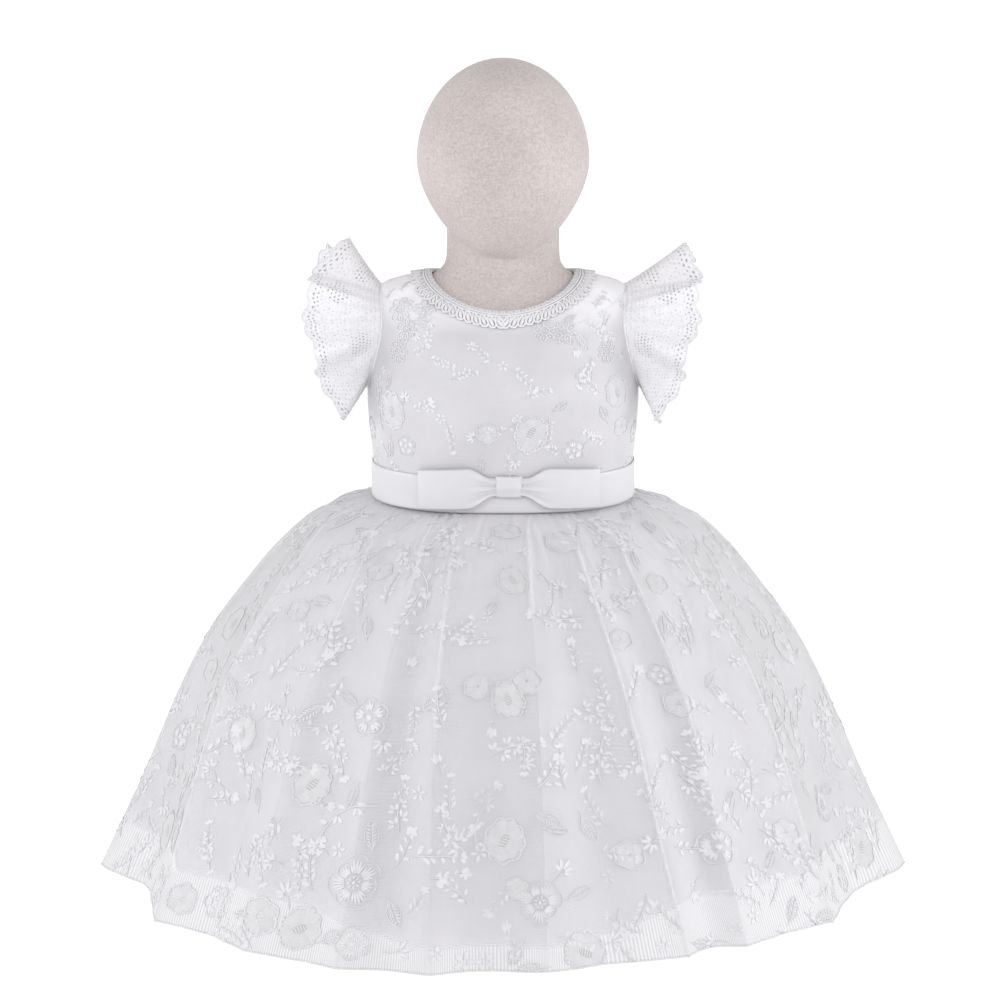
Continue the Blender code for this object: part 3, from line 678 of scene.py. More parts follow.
def backed_net_finish(looks, sizes):
    """The bodice's cloth: net mounted on satin, the satin painted darker as painted shade and the cloth
    painted lighter towards the shoulders as painted light.
    """
    # painted shade: the satin is the lining's colour darkened against the stronger light on the bodice
    satin, net = shade(looks.lining_colour, 0.765), shade(looks.net_colour, 1.04)
    made, tree, shader = new_finish("gown_backed_net", satin, 0.5, Sheen_Weight=0.7)
    threads = net_threads(tree, sizes.net_pitch, sizes.net_thread)
    share = scaled(tree, threads, 0.16, scaled(tree, clouds(tree, 30.0), 0.18))
    # painted light: whiter with height towards the shoulders, where light from above falls
    height = node(tree, "SeparateXYZ", {0: place_of(tree)}).outputs[2]
    ramp = {"Value": height, "From Min": SHOULDER_PAINTED_LIGHT[0], "From Max": SHOULDER_PAINTED_LIGHT[1]}
    shoulder_light = node(tree, "MapRange", ramp).outputs[0]
    paint(tree, shader, maths(tree, "MAXIMUM", share, shoulder_light), satin, net)
    emboss(tree, shader, threads, 0.00008, 0.5)
    return made


def satin_stitch(name, looks, painted_shade, painted_light):
    """Satin stitch: lustrous threads side by side, with painted light on their tops and painted shade round
    their rims and undersides. painted_shade and painted_light are shares of the thread's colour."""
    colour = looks.thread_colour
    made, tree, shader = new_finish(name, colour, 0.42, Sheen_Weight=0.2)
    stitches = thread_lines(tree, cloth_map(tree), 90, 0.0007, 0.55)
    grain = scaled(tree, clouds(tree, 400.0), 0.12, scaled(tree, stitches, 0.08))
    # painted light and shade: the colour follows the painted light attribute
    share = scaled(tree, attribute(tree, PAINTED_LIGHT_NAME), 0.80, grain)
    paint(tree, shader, share, shade(colour, painted_shade), shade(colour, painted_light))
    emboss(tree, shader, stitches, 0.0001, 0.6)
    return made


def stitch_finish(looks):
    """The skirt's embroidery and the hand stitches."""
    # shares of the thread's colour for the painted shade and the painted light
    return satin_stitch("gown_stitches", looks, 0.44, 0.895)


def bodice_stitch_finish(looks):
    """The bodice's embroidery, with stronger painted light and shade than the skirt's."""
    return satin_stitch("gown_bodice_stitches", looks, 0.36, 0.985)


def lace_finish(looks):
    """Cotton lace: fine mesh ground between the threads of its pattern."""
    colour = shade(looks.thread_colour, 1.07)
    made, tree, shader = new_finish("gown_lace", colour, 0.7, Sheen_Weight=0.3)
    where = cloth_map(tree)
    weave = maths(tree, "ADD", *(thread_lines(tree, where, turn, 0.0007, 0.5) for turn in (45, 135)))
    share = scaled(tree, weave, 0.25, scaled(tree, clouds(tree, 420.0, 2.0), 0.5))
    paint(tree, shader, share, shade(colour, 0.78), colour)
    emboss(tree, shader, share, 0.00025, 0.6)
    return made


def open_ground(name, looks, factor, cover):
    """The lace's ground seen through its holes: fine crossed threads, painted darker by factor as painted
    shade in the holes. cover is the share that shows between the threads."""
    made, tree, shader = new_finish(name, shade(looks.thread_colour, factor), 0.8)
    where = cloth_map(tree)
    grid = maths(tree, "MAXIMUM", *(thread_lines(tree, where, turn, 0.0006, 0.4) for turn in (20, 110)))
    tree.links.new(scaled(tree, grid, 1 - cover, cover), shader.inputs["Alpha"])
    return made


def eyelet_finish(looks):
    # painted shade in the large eyelets: the ground at 0.42 of the thread's colour
    return open_ground("gown_eyelets", looks, 0.42, 0.8)


def mesh_ground_finish(looks):
    # painted shade in the small holes: the ground at 0.72 of the thread's colour
    return open_ground("gown_mesh_ground", looks, 0.72, 0.6)


def braid_finish(looks):
    """Twisted cord: threads that wind round it, with painted light on its tops and painted shade beneath.
    """
    colour = shade(looks.thread_colour, 0.95)
    made, tree, shader = new_finish("gown_braid", colour, 0.6, Sheen_Weight=0.3)
    twist = thread_lines(tree, cloth_map(tree), 35, 0.0008, 0.5)
    # painted light and shade from the painted light attribute, mixed with the twist
    share = scaled(tree, twist, 0.5, scaled(tree, attribute(tree, PAINTED_LIGHT_NAME), 0.5))
    paint(tree, shader, share, shade(colour, 0.89), colour)
    emboss(tree, shader, twist, 0.0001, 0.6)
    return made


def ribbon_finish(looks):
    """Satin ribbon: smooth, with a fine grain along it and stitched selvedges."""
    colour = looks.ribbon_colour
    made, tree, shader = new_finish("gown_ribbon", colour, 0.34, Sheen_Weight=0.15, Anisotropic=0.5)
    where = cloth_map(tree)
    grain = clouds(tree, 1.0, 2.0, (40.0, 1800.0, 1.0), where)
    cross = thread_lines(tree, where, 0, 0.0006, 0.5)
    paint(tree, shader, clouds(tree, 26.0), shade(colour, 0.975), colour)
    emboss(tree, shader, scaled(tree, cross, 0.3, grain), 0.00003, 0.6)
    return made


def linen_finish(looks):
    """Linen stretched over the form: uneven threads both ways."""
    colour = looks.linen_colour
    made, tree, shader = new_finish("form_linen", colour, 0.9, Sheen_Weight=0.2)
    upright = clouds(tree, 1.0, 3.0, (1500.0, 1500.0, 90.0))
    level = clouds(tree, 1.0, 3.0, (110.0, 110.0, 1500.0))
    weave = scaled(tree, upright, 0.5, scaled(tree, level, 0.5))
    mottle = scaled(tree, clouds(tree, 22.0), 0.25, scaled(tree, clouds(tree, 520.0, 1.0), 0.4))
    share = scaled(tree, weave, 0.35, mottle)
    paint(tree, shader, share, shade(colour, 0.74), shade(colour, 1.22))
    emboss(tree, shader, weave, 0.00035, 0.7)
    return made


def pearl_finish(looks):
    """Pearl buttons: a coat over faintly clouded plastic."""
    colour = looks.button_colour
    made, tree, shader = new_finish("gown_pearl", colour, 0.28, Coat_Weight=0.6, Coat_Roughness=0.12)
    paint(tree, shader, clouds(tree, 500.0), shade(colour, 0.9), colour)
    return made


def stand_finish(looks):
    """White paint on steel, a little uneven."""
    colour = looks.stand_colour
    made, tree, shader = new_finish("stand_paint", colour, 0.4)
    speckle = clouds(tree, 600.0)
    paint(tree, shader, speckle, shade(colour, 0.97), colour)
    emboss(tree, shader, speckle, 0.00005, 0.3)
    return made


# ---- Embroidery motifs, drawn flat in millimetres: x to the right, y up and z out of the cloth ----

MM = 0.001
PAD_RISE = 0.10
CORD_RADIUS = 0.42


def add_pad(shape, middle, size, turn, flare=0.0, around=10, down=5, even=None):
    """A closed, softly domed pad whose stitches run along its length. turn is in degrees, and flare widens
    its far end. It is painted light on top and painted shade round its rim, or all over by the share even."""
    known = set(shape.faces)
    made = bmesh.ops.create_uvsphere(shape, u_segments=around, v_segments=down, radius=0.5)["verts"]
    faces = {face for vert in made for face in vert.link_faces} - known
    map_cloth(shape, faces, size[0] * MM, size[1] * MM)
    lit = shape.verts.layers.float[PAINTED_LIGHT_NAME]
    for vert in made:
        # painted light on the pad's top and painted shade round its rim
        vert[lit] = 0.7 + min(0.3, max(0.0, vert.co.z - 0.125)) if even is None else even
        vert.co.y *= 1 + flare * vert.co.x * 2
    place = Matrix.Translation((*middle, PAD_RISE)) @ Matrix.Rotation(math.radians(turn), 4, "Z")
    bmesh.ops.transform(shape, matrix=place @ Matrix.Diagonal((*size, 1.0)), verts=made)


def add_bar(shape, start, end, width=1.3, height=0.9, even=None):
    """A bar of satin stitch between two points."""
    start, end = np.array(start), np.array(end)
    way = end - start
    turn = math.degrees(math.atan2(way[1], way[0]))
    add_pad(shape, (start + end) / 2, (np.hypot(*way), width, height), turn, 0.15, 6, 3, even)


def add_cord(shape, points, radius=CORD_RADIUS, closed=False, sides=4):
    line = [(x, y, PAD_RISE + radius * 0.4) for x, y in points]
    tube_along(shape, line, radius, sides, closed, unit_length=MM)


def oval(wide, tall, turn):
    return wide * math.cos(math.radians(turn)), tall * math.sin(math.radians(turn))


def polar(radius, turn):
    return oval(radius, radius, turn)


def motif(draw):
    """Draws a motif once and keeps it as a mesh."""
    shape = new_shape()
    draw(shape)
    mesh = bpy.data.meshes.new(draw.__name__)
    shape.to_mesh(mesh)
    shape.free()
    return mesh


def petal_edge(near, bulge, roundness, middle, spread, count):
    """The outer edge of a petal: near its sides, and further out by the bulge in its middle."""
    return [polar(near + bulge * math.cos(math.radians(x * 80)) ** roundness, middle + x * spread)
            for x in np.linspace(-1, 1, count)]


def draw_daisy(shape):
    """A large open flower: seven uneven fans of bars with gaps between them, each edged with a cord."""
    for petal, size in enumerate((1.0, 0.84, 1.08, 0.92, 1.02, 0.80, 0.96)):
        middle = petal * 360 / 7 + 80
        outer = 16.5 * size
        for bar in (-2, -1, 0, 1, 2):
            turn = middle + bar * 9.6
            foot = polar(4.2 + 0.5 * abs(bar), turn - bar)
            add_bar(shape, foot, polar(outer * (1.0 - 0.055 * bar * bar), turn), 1.9, 1.3)
        add_cord(shape, petal_edge(outer * 0.82, outer * 0.26, 0.5, middle, 25, 11))
    for dot in range(8):
        add_pad(shape, polar(3.2, dot * 45), (2.8, 1.8, 1.6), dot * 45, 0, 6, 3)
    add_pad(shape, (0, 0), (2.6, 2.6, 1.6), 0, 0, 8, 4)


def add_frill(shape, wide, tall, waves, wave, radius, lobe):
    """A frilled rim: a cord with small stitched lobes along it."""

    def rim(t):
        frill = 1 + wave * abs(math.sin(math.radians(waves * t / 2)))
        frill += 0.05 * math.cos(math.radians(2 * t + 40))
        return oval(wide * frill, tall * frill, t)

    add_cord(shape, [rim(t) for t in range(0, 360, 6)], radius, True)
    for t in range(0, 360, round(360 / (waves * 3))):
        x, y = rim(t)
        way = math.degrees(math.atan2(y, x)) + 20
        add_bar(shape, (x * 0.86, y * 0.86), np.add((x, y), polar(0.5, way)), lobe, 1.1)


def draw_rose(shape):
    """A full rose: smooth petals with a frilled rim, round a slanting slit that short bars cross."""
    for petal in range(9):
        turn = petal * 40 + 10
        add_pad(shape, oval(7.6, 9.6, turn), (12.0, 9.6, 0.35), turn, 0.2, 10, 4, 0.60 + 0.06 * (petal % 2))
    add_frill(shape, 12.6, 15.4, 9, 0.13, 0.55, 1.4)
    # the slit: a flat pad at a low even share, painted dark as painted shade in the slit
    add_pad(shape, (0, 0), (14.4, 6.0, 0.6), 90, 0.0, 10, 4, 0.22)
    for bar in range(6):
        y = -5.4 + bar * 2.15
        half = 3.0 * math.cos(y / 5.4 * 1.1) + 0.7
        add_bar(shape, (-half, y - 0.9), (half, y + 0.9), 1.05, 1.5)


def draw_small_rose(shape):
    """A half-open rose: smooth petals with a frilled rim, round an eye that short bars cross."""
    for petal in range(6):
        turn = petal * 60 + 90
        add_pad(shape, polar(5.6, turn), (9.6, 8.4, 0.35), turn, 0.2, 9, 4, 0.60 + 0.07 * (petal % 2))
    add_frill(shape, 10.0, 9.2, 6, 0.16, 0.5, 1.3)
    for step in range(7):
        add_bar(shape, polar(0.8, step * 51), polar(3.6, step * 51 + 14), 1.1, 1.1)
    for petal in (30, 150, 270):
        add_cord(shape, [polar(r, petal + 3 * r) for r in (4.0, 5.6, 7.2, 8.6)], 0.4)


def draw_blossom(shape):
    """A five-petalled flower: each petal a fan of three bars in a cord."""
    for petal in range(5):
        middle = petal * 72 + 90
        for bar in (-1, 0, 1):
            turn = middle + bar * 15
            add_bar(shape, polar(3.6, turn), polar(11.0 - abs(bar), turn), 2.4, 1.2)
        add_cord(shape, petal_edge(8.6, 3.6, 0.6, middle, 31, 10), 0.45)
    add_pad(shape, (0, 0), (4.4, 4.4, 1.7), 0, 0, 8, 4)


def draw_open_flower(shape):
    """An airy flower: eight corded loops for its petals, a bar in each, round a crossed eye."""
    for petal in range(8):
        middle = petal * 45 + 12
        lean = Matrix.Rotation(math.radians(middle), 2)
        loop = [np.add(polar(9.0, middle), lean @ Vector(oval(4.9, 3.2, t))) for t in range(0, 360, 30)]
        add_cord(shape, loop, 0.65, True, 5)
        add_bar(shape, polar(6.6, middle), polar(11.4, middle), 2.0, 1.3)
    for step in range(6):
        add_bar(shape, polar(0.6, step * 60), polar(3.4, step * 60 + 14), 1.3, 1.3)


def draw_star(shape):
    """A tiny flower of five plump petals."""
    for petal in range(5):
        turn = petal * 72 + 90
        add_bar(shape, polar(0.8, turn), polar(6.8, turn), 3.4, 1.0)


def draw_bud(shape):
    """A closed bud on a short stem, with two sepals."""
    add_pad(shape, (0, 5.5), (9.0, 4.8, 0.9), 90, -0.2, 10, 5, 0.8)
    for side in (-1, 1):
        add_pad(shape, (side * 2.6, 4.2), (8.2, 2.4, 1.2), 90 - side * 14, 0.0, 8, 4)
    add_cord(shape, [(0.0, 0.5), (0.4, -3.0), (-0.3, -7.0), (-1.6, -10.5)], 0.5)
    add_bar(shape, (0.2, -4.5), (4.6, -2.4), 2.4)


def draw_leaf(shape):
    """A long leaf: slanting bars on both sides of a stem, inside a cord."""
    for step in range(7):
        y = 2.4 + step * 2.4
        reach = 4.4 * math.sin(math.pi * (y + 1.0) / 21.5) ** 0.8
        for side in (-1, 1):
            add_bar(shape, (side * 0.3, y - 1.4), (side * reach, y + 1.6), 1.7, 1.1)
    stem = [(0.8 * math.sin(y * 0.15), y) for y in np.linspace(-5, 19, 9)]
    add_cord(shape, stem, 0.5)
    rise = np.linspace(0.3, 20.7, 10)
    outline = [(5.0 * math.sin(math.pi * y / 21) ** 0.8 * side, y)
               for side, row in ((1, rise), (-1, rise[::-1])) for y in row]
    add_cord(shape, outline, 0.45, True)


def draw_frond(shape):
    """A fan of five plain leaves."""
    for turn, length in ((15, 7.5), (52, 9.5), (90, 11.0), (128, 9.5), (165, 7.0)):
        add_pad(shape, polar(length * 0.55 + 0.6, turn), (length, 3.4, 1.2), turn, -0.1, 7, 3)
    add_cord(shape, [(0.0, 1.0), (0.3, -3.0), (-0.4, -7.0), (-2.0, -11.0)], 0.45)


def add_leaves(shape, foot, turn, spread, length=9.4, width=4.2):
    """Small plump leaves that fan out from one spot."""
    for lean in spread:
        start = np.add(foot, polar(0.6, turn + lean))
        end = np.add(foot, polar(length * (1.0 - 0.12 * (lean != 0)), turn + lean))
        add_bar(shape, start, end, width, 1.0, 0.9)


def sprig(shape, bend, nodes, spread, gap, seed):
    """A curved stem with leaves to one side and the other in turn, smaller towards its tip."""
    rng = np.random.default_rng(seed)
    length = nodes * gap + 4.0
    stem = [(bend * (y / length) ** 2 * 10, y) for y in np.linspace(-2, length, 10)]
    add_cord(shape, stem, 0.55)
    for number in range(nodes):
        side = 1 if number % 2 else -1
        y = 2.0 + number * gap
        foot = (bend * (y / length) ** 2 * 10, y)
        way = 90 - math.degrees(math.atan(bend * 20 * y / length**2)) - side * (50 + rng.uniform(-9, 9))
        size = (1 - 0.35 * number / nodes) * rng.uniform(0.85, 1.12)
        if len(spread) > 1:
            stalk = np.add(foot, polar(3.2 * size, way))
            add_cord(shape, (foot, stalk), 0.45)
            foot = stalk
        add_leaves(shape, foot, way, spread, 9.2 * size, 4.1 * size)
    add_leaves(shape, (bend * 10, length), 90 - bend * 20, (-40, 4, 46), 7.6, 4.0)


def draw_sprig(shape):
    """A stem with single leaves."""
    sprig(shape, 0.9, 8, (0,), 3.4, 1)


def draw_flowering_sprig(shape):
    """A short sprig with a small flower beside its tip."""
    sprig(shape, -0.8, 5, (0,), 3.8, 2)
    add_leaves(shape, (-8.0, 26.0), 90, range(0, 360, 72), 6.4, 3.6)


def draw_spray(shape):
    """A branching sprig: leaves in threes on short stalks."""
    sprig(shape, 1.2, 6, (-54, 0, 50), 5.4, 3)


def draw_scroll(shape):
    """A long curling stem with leaves and a flower where it ends."""
    curl = [(18 * math.sin(t * 1.6), 34 * t - 3 * math.sin(t * 3)) for t in np.linspace(0, 1.6, 22)]
    add_cord(shape, curl, 0.6)
    for at, side in ((3, -1), (6, 1), (9, -1), (12, 1), (15, -1), (18, 1)):
        add_leaves(shape, curl[at], 90 + side * 55, (0,) if at % 2 else (-30, 26))
    add_leaves(shape, curl[-1], 90, range(0, 360, 72))


MOTIFS = {
    draw.__name__.removeprefix("draw_"): draw
    for draw in (
        draw_daisy, draw_rose, draw_small_rose, draw_blossom, draw_open_flower, draw_star, draw_bud,
        draw_leaf, draw_frond, draw_sprig, draw_flowering_sprig, draw_spray, draw_scroll,
    )
}
# millimetres that a motif reaches from its middle, and a long one from its foot
MOTIF_REACH = {
    "daisy": 18, "rose": 17, "small_rose": 12, "blossom": 12, "open_flower": 14, "leaf": 11, "spray": 14,
    "scroll": 16,
}
SMALL_REACH = 9
MOTIF_LENGTH = {"sprig": 33, "flowering_sprig": 34, "spray": 40, "scroll": 56, "leaf": 21}


def layout_of(places):
    """A row for each place: motif, angle, place along the cloth, size and turn."""
    return tuple((kind, *place) for kind, rows in places.items() for place in rows)


# each motif's places: angle, share of the skirt's length, size, turn in degrees
SKIRT_LAYOUT = layout_of({
    "small_rose": (
        (1.2, 0.075, 0.95, 10), (17.7, 0.115, 1.05, 50), (-4.8, 0.45, 0.85, 0), (4.4, 0.435, 0.9, 30),
        (-36.0, 0.925, 1.35, 0), (2.0, 0.84, 0.75, 0), (19.6, 0.79, 1.0, 0), (33.3, 0.505, 0.9, 0),
        (76.9, 0.21, 0.95, 0), (50.5, 0.80, 0.95, 0), (-80.0, 0.53, 0.95, 0), (-53.5, 0.94, 1.15, 0),
        (-51.5, 0.33, 0.85, 0), (-33.0, 0.21, 0.8, 20), (-17.5, 0.14, 0.75, 0), (25.0, 0.36, 0.8, 0),
        (40.0, 0.25, 0.8, 0), (60.0, 0.56, 0.9, 0),
    ),
    "rose": (
        (2.3, 0.215, 0.72, 25), (0.9, 0.475, 0.80, 15), (-32.4, 0.665, 0.95, -40),
        (-28.9, 0.935, 1.05, -65), (0.2, 0.75, 0.98, -28), (11.4, 0.965, 0.95, 60), (78.3, 0.47, 0.85, 30),
        (80.3, 0.92, 1.0, -30), (-80.1, 0.42, 0.9, -20), (-74.5, 0.87, 1.0, 40), (-52.0, 0.60, 0.85, 25),
    ),
    "leaf": (
        (-1.5, 0.265, 0.62, 150), (-14.5, 0.50, 0.8, -50), (-27.5, 0.50, 0.75, 60), (-19.8, 0.77, 0.95, 10),
        (-16.3, 0.87, 0.9, -150), (-25.2, 0.95, 0.85, -60), (9.4, 0.865, 0.9, -70),
        (12.5, 0.71, 0.95, -150), (38.5, 0.74, 0.9, -35), (64.5, 0.76, 0.9, 50), (45.0, 0.52, 0.85, 30),
        (-81.1, 0.775, 1.0, 20), (-56.5, 0.53, 0.85, 40), (-29.5, 0.36, 0.8, 20), (29.0, 0.30, 0.8, 30),
        (66.0, 0.64, 0.95, -30),
    ),
    "frond": (
        (5.0, 0.145, 0.7, -30), (-20.5, 0.565, 0.9, 165), (-36.0, 0.64, 0.8, 70), (-32.5, 0.88, 1.0, 40),
        (-14.2, 0.955, 0.95, -75), (8.6, 0.81, 1.0, -40), (15.5, 0.95, 0.95, -80), (70.9, 0.12, 0.8, 20),
        (85.5, 0.88, 1.0, 0), (-81.0, 0.92, 1.0, -30), (-47.5, 0.55, 0.9, -35), (-24.0, 0.20, 0.75, 0),
        (14.0, 0.24, 0.75, 10), (56.5, 0.26, 0.8, -20),
    ),
    "scroll": (
        (9.5, 0.30, 0.6, 10), (-0.2, 0.66, 0.75, 170),
    ),
    "star": (
        (-7.0, 0.325, 0.8, 0), (-3.5, 0.30, 0.7, 40), (-37.5, 0.43, 0.8, 0), (-25.2, 0.78, 0.95, 0),
        (-8.8, 0.955, 0.95, 0), (-2.5, 0.975, 1.15, 20), (-5.3, 0.975, 1.15, 50), (16.0, 0.83, 0.9, 0),
        (39.2, 0.94, 1.1, 0), (35.5, 0.955, 1.0, 30), (44.0, 0.62, 0.9, 0), (62.0, 0.93, 1.1, 0),
        (-66.5, 0.93, 1.1, 0), (-55.5, 0.20, 0.8, 0), (-14.0, 0.24, 0.75, 0), (-13.5, 0.66, 0.9, 0),
        (22.0, 0.62, 0.9, 0), (50.0, 0.44, 0.9, 0), (23.0, 0.965, 1.0, 0),
    ),
    "flowering_sprig": (
        (-2.0, 0.35, 0.8, 75), (-41.0, 0.375, 0.8, 60), (-16.0, 0.80, 0.95, -40), (-27.2, 0.79, 0.95, 60),
        (-5.0, 0.87, 0.9, 30), (1.0, 0.845, 0.8, 120), (12.2, 0.62, 0.8, -45), (31.0, 0.755, 0.9, 70),
        (43.6, 0.93, 0.9, -60), (48.2, 0.57, 0.9, 15), (57.5, 0.70, 0.85, 10), (-60.5, 0.70, 0.9, -10),
        (-48.5, 0.68, 0.85, 20), (14.5, 0.42, 0.8, -15),
    ),
    "bud": (
        (-1.8, 0.53, 0.9, 170), (-18.5, 0.415, 0.95, -20), (-29.0, 0.70, 0.85, -100),
        (30.4, 0.88, 1.0, 160), (-10.5, 0.60, 0.9, 30),
    ),
    "sprig": (
        (3.0, 0.545, 0.75, 200), (8.4, 0.56, 0.8, -30), (-16.5, 0.49, 0.7, 200), (-34.5, 0.415, 0.85, 35),
        (-36.5, 0.74, 0.8, 150), (-13.2, 0.78, 0.95, -75), (-28.5, 0.86, 0.85, 30), (-40.5, 0.86, 0.8, 20),
        (8.0, 0.93, 0.7, -100), (10.0, 0.65, 0.85, 20), (16.5, 0.73, 0.85, 45), (21.5, 0.87, 0.85, 165),
        (40.0, 0.84, 0.85, -110), (76.0, 0.74, 0.85, -40), (35.5, 0.56, 0.8, 190), (75.5, 0.56, 0.85, 160),
        (66.0, 0.30, 0.8, -20), (54.0, 0.90, 0.9, 30), (-75.0, 0.35, 0.85, 25), (-80.0, 0.61, 0.8, 190),
        (-69.0, 0.75, 0.85, 30), (-50.5, 0.86, 0.85, 40), (-57.5, 0.42, 0.85, 15), (-47.0, 0.26, 0.75, -15),
        (-28.0, 0.28, 0.75, 10), (-12.0, 0.36, 0.75, -25), (-8.0, 0.70, 0.8, 20), (19.5, 0.50, 0.8, 25),
        (24.5, 0.68, 0.85, -20), (24.5, 0.24, 0.75, -10), (44.0, 0.36, 0.8, 10), (60.5, 0.42, 0.85, 20),
        (26.5, 0.94, 0.8, 60), (88.0, 0.66, 0.85, 0), (-88.5, 0.84, 0.85, 0),
    ),
    "blossom": (
        (-24.0, 0.52, 1.15, 12), (-20.3, 0.945, 1.0, 30), (35.1, 0.795, 1.15, 0), (31.3, 0.445, 0.75, 20),
        (71.7, 0.41, 0.9, 0), (-82.4, 0.68, 1.05, 10), (-46.5, 0.93, 0.95, 20), (-64.0, 0.24, 0.8, 0),
        (68.5, 0.95, 0.95, 20),
    ),
    "daisy": (
        (-21.6, 0.835, 1.08, 8), (5.2, 0.865, 0.95, -20), (70.4, 0.80, 0.86, 15), (-62.5, 0.83, 0.9, 25),
    ),
})

# each motif's places: angle, level of BODY, size, turn in degrees
BODICE_LAYOUT = layout_of({
    "open_flower": (
        (-60.0, 5.95, 0.72, 20), (25.0, 6.2, 0.66, 10), (34.5, 5.75, 0.6, 0), (-49.0, 6.65, 0.62, 0),
        (-52.5, 5.2, 0.62, 0), (-54.5, 4.3, 0.6, 40), (54.0, 4.3, 0.58, 0),
    ),
    "leaf": (
        (-50.0, 5.75, 0.62, -75), (-58.5, 1.75, 0.6, 170), (-11.0, 1.5, 0.5, 175), (26.0, 2.9, 0.5, -60),
        (40.0, 5.4, 0.6, -150), (52.0, 2.4, 0.6, 30), (-44.5, 5.55, 0.5, -60), (-57.5, 3.6, 0.5, 160),
        (-65.5, 2.9, 0.55, 15), (43.0, 6.4, 0.55, 100), (55.0, 4.9, 0.5, 150),
    ),
    "frond": (
        (-47.5, 5.1, 0.55, -110), (-49.0, 3.1, 0.6, -20), (-15.0, 2.0, 0.6, 80), (6.5, 1.4, 0.6, 180),
        (44.0, 1.9, 0.6, -40), (-42.0, 6.1, 0.6, -100),
    ),
    "small_rose": (
        (-66.0, 4.5, 0.70, 0), (-8.0, 2.15, 0.7, 0), (62.0, 2.1, 0.7, 0),
    ),
    "scroll": (
        (-60.0, 3.9, 0.45, 185), (-12.5, 2.3, 0.5, -65), (3.0, 1.75, 0.42, -150),
    ),
    "flowering_sprig": (
        (-47.0, 4.35, 0.55, -70), (-45.0, 2.85, 0.6, -85), (52.0, 4.6, 0.55, -20),
    ),
    "sprig": (
        (-38.0, 4.25, 0.55, -80), (-26.0, 3.75, 0.55, -55), (-6.0, 4.55, 0.55, 65), (5.0, 4.1, 0.55, -110),
        (-28.5, 2.4, 0.5, -150), (23.0, 2.6, 0.5, -165), (29.5, 1.6, 0.5, 80), (45.0, 4.2, 0.55, 160),
        (48.0, 3.3, 0.55, 60), (68.0, 2.9, 0.5, 0), (-78.0, 2.6, 0.5, 0), (80.0, 2.5, 0.5, 0),
        (12.0, 3.3, 0.5, -60), (-68.0, 6.6, 0.5, 60), (-63.5, 2.0, 0.5, 20), (-52.0, 0.75, 0.5, 60),
        (56.0, 6.3, 0.5, -60), (46.5, 5.75, 0.5, -120),
    ),
    "star": (
        (-30.0, 4.2, 0.6, 0), (-19.0, 4.0, 0.6, 30), (0.0, 4.3, 0.65, 0), (-36.0, 2.95, 0.75, 0),
        (-31.0, 2.6, 0.7, 30), (-18.0, 5.3, 0.6, 0), (-68.0, 3.4, 0.7, 0), (-40.5, 5.2, 0.7, 20),
    ),
    "rose": (
        (-56.0, 2.65, 0.78, 10), (14.5, 2.15, 0.82, -35), (58.0, 3.2, 0.75, 20),
    ),
    "blossom": (
        (-49.5, 1.65, 0.65, 0), (36.0, 1.6, 0.7, 15), (-76.0, 1.9, 0.7, 0), (76.0, 1.8, 0.7, 0),
        (-57.0, 0.85, 0.6, 10), (41.0, 3.75, 0.55, 10),
    ),
    "bud": (
        (38.0, 4.7, 0.7, -170),
    ),
})


def reach_of(kind, size):
    return MOTIF_REACH.get(kind, SMALL_REACH) * size


def between_flowers(layout, ends, rows, spacing, length_of, width_of, kinds, sizes, seed):
    """Rows of small motifs in the spaces that a layout leaves, from -ends to ends in degrees. length_of
    is the millimetres of a unit along the cloth, and width_of gives those of a degree across it."""
    rng = np.random.default_rng(seed)
    known = [(angle, along, reach_of(kind, size)) for kind, angle, along, size, _ in layout]
    added = []
    for row, along in enumerate(rows):
        width = width_of(along)
        step = spacing / width
        for start in np.arange(-ends + step * (0.25 + 0.5 * (row % 2)), ends, step):
            angle = start + rng.uniform(-0.32, 0.32) * step
            at = along + rng.uniform(-0.3, 0.3) * spacing / length_of
            kind = kinds[rng.integers(len(kinds))]
            size, turn, keep = rng.uniform(*sizes), rng.uniform(0, 360), rng.random()
            reach = reach_of(kind, size) * 0.7
            far = all(
                math.hypot((angle - x) * width, (at - y) * length_of) > near + reach
                for x, y, near in known
            )
            if far and keep > 0.12:
                added.append((kind, angle, at, size, turn))
                known.append((angle, at, reach))
    return tuple(added)


def mirrored(layout):
    """The same motifs on the back, as if folded over at the sides."""
    return tuple((kind, 180 - angle, along, size, -turn) for kind, angle, along, size, turn in layout)


def embroider(name, layout, face, lay, upwards):
    """Works a layout of motifs on the cloth. face(angle, along) is the cloth's face, lay(flat) puts
    points of angle, along and height on it, and along runs upwards or downwards."""
    drawn = {kind: motif(MOTIFS[kind]) for kind in sorted({row[0] for row in layout})}
    spots = np.array([row[1:3] for row in layout], dtype=float)
    angle, along = spots.T
    step, end = (0.02, 1.0) if upwards < 0 else (0.3, NECKLINE)
    low, high = np.maximum(along - step, 0.0), np.minimum(along + step, end)
    across = np.linalg.norm(face(angle + 2, along) - face(angle - 2, along), axis=-1) / 4
    up = np.linalg.norm(face(angle, high) - face(angle, low), axis=-1) / (high - low)
    cloth = new_shape()
    for (kind, _, _, size, turn), spot, one, other in zip(layout, spots, across, up):
        known = len(cloth.verts)
        cloth.from_mesh(drawn[kind])
        cloth.verts.ensure_lookup_table()
        stretch = Matrix.Diagonal((MM / one, MM / other * upwards, MM, 1.0))
        turned = Matrix.Rotation(math.radians(turn), 4, "Z") @ Matrix.Diagonal((size, size, size**0.5, 1.0))
        place = Matrix.Translation((*spot, 0.0)) @ stretch @ turned
        bmesh.ops.transform(cloth, matrix=place, verts=cloth.verts[known:])
    for mesh in drawn.values():
        bpy.data.meshes.remove(mesh)
    made = to_object(name, cloth, 50)
    put_points(made.data, lay(points_of(made.data)))
    return made


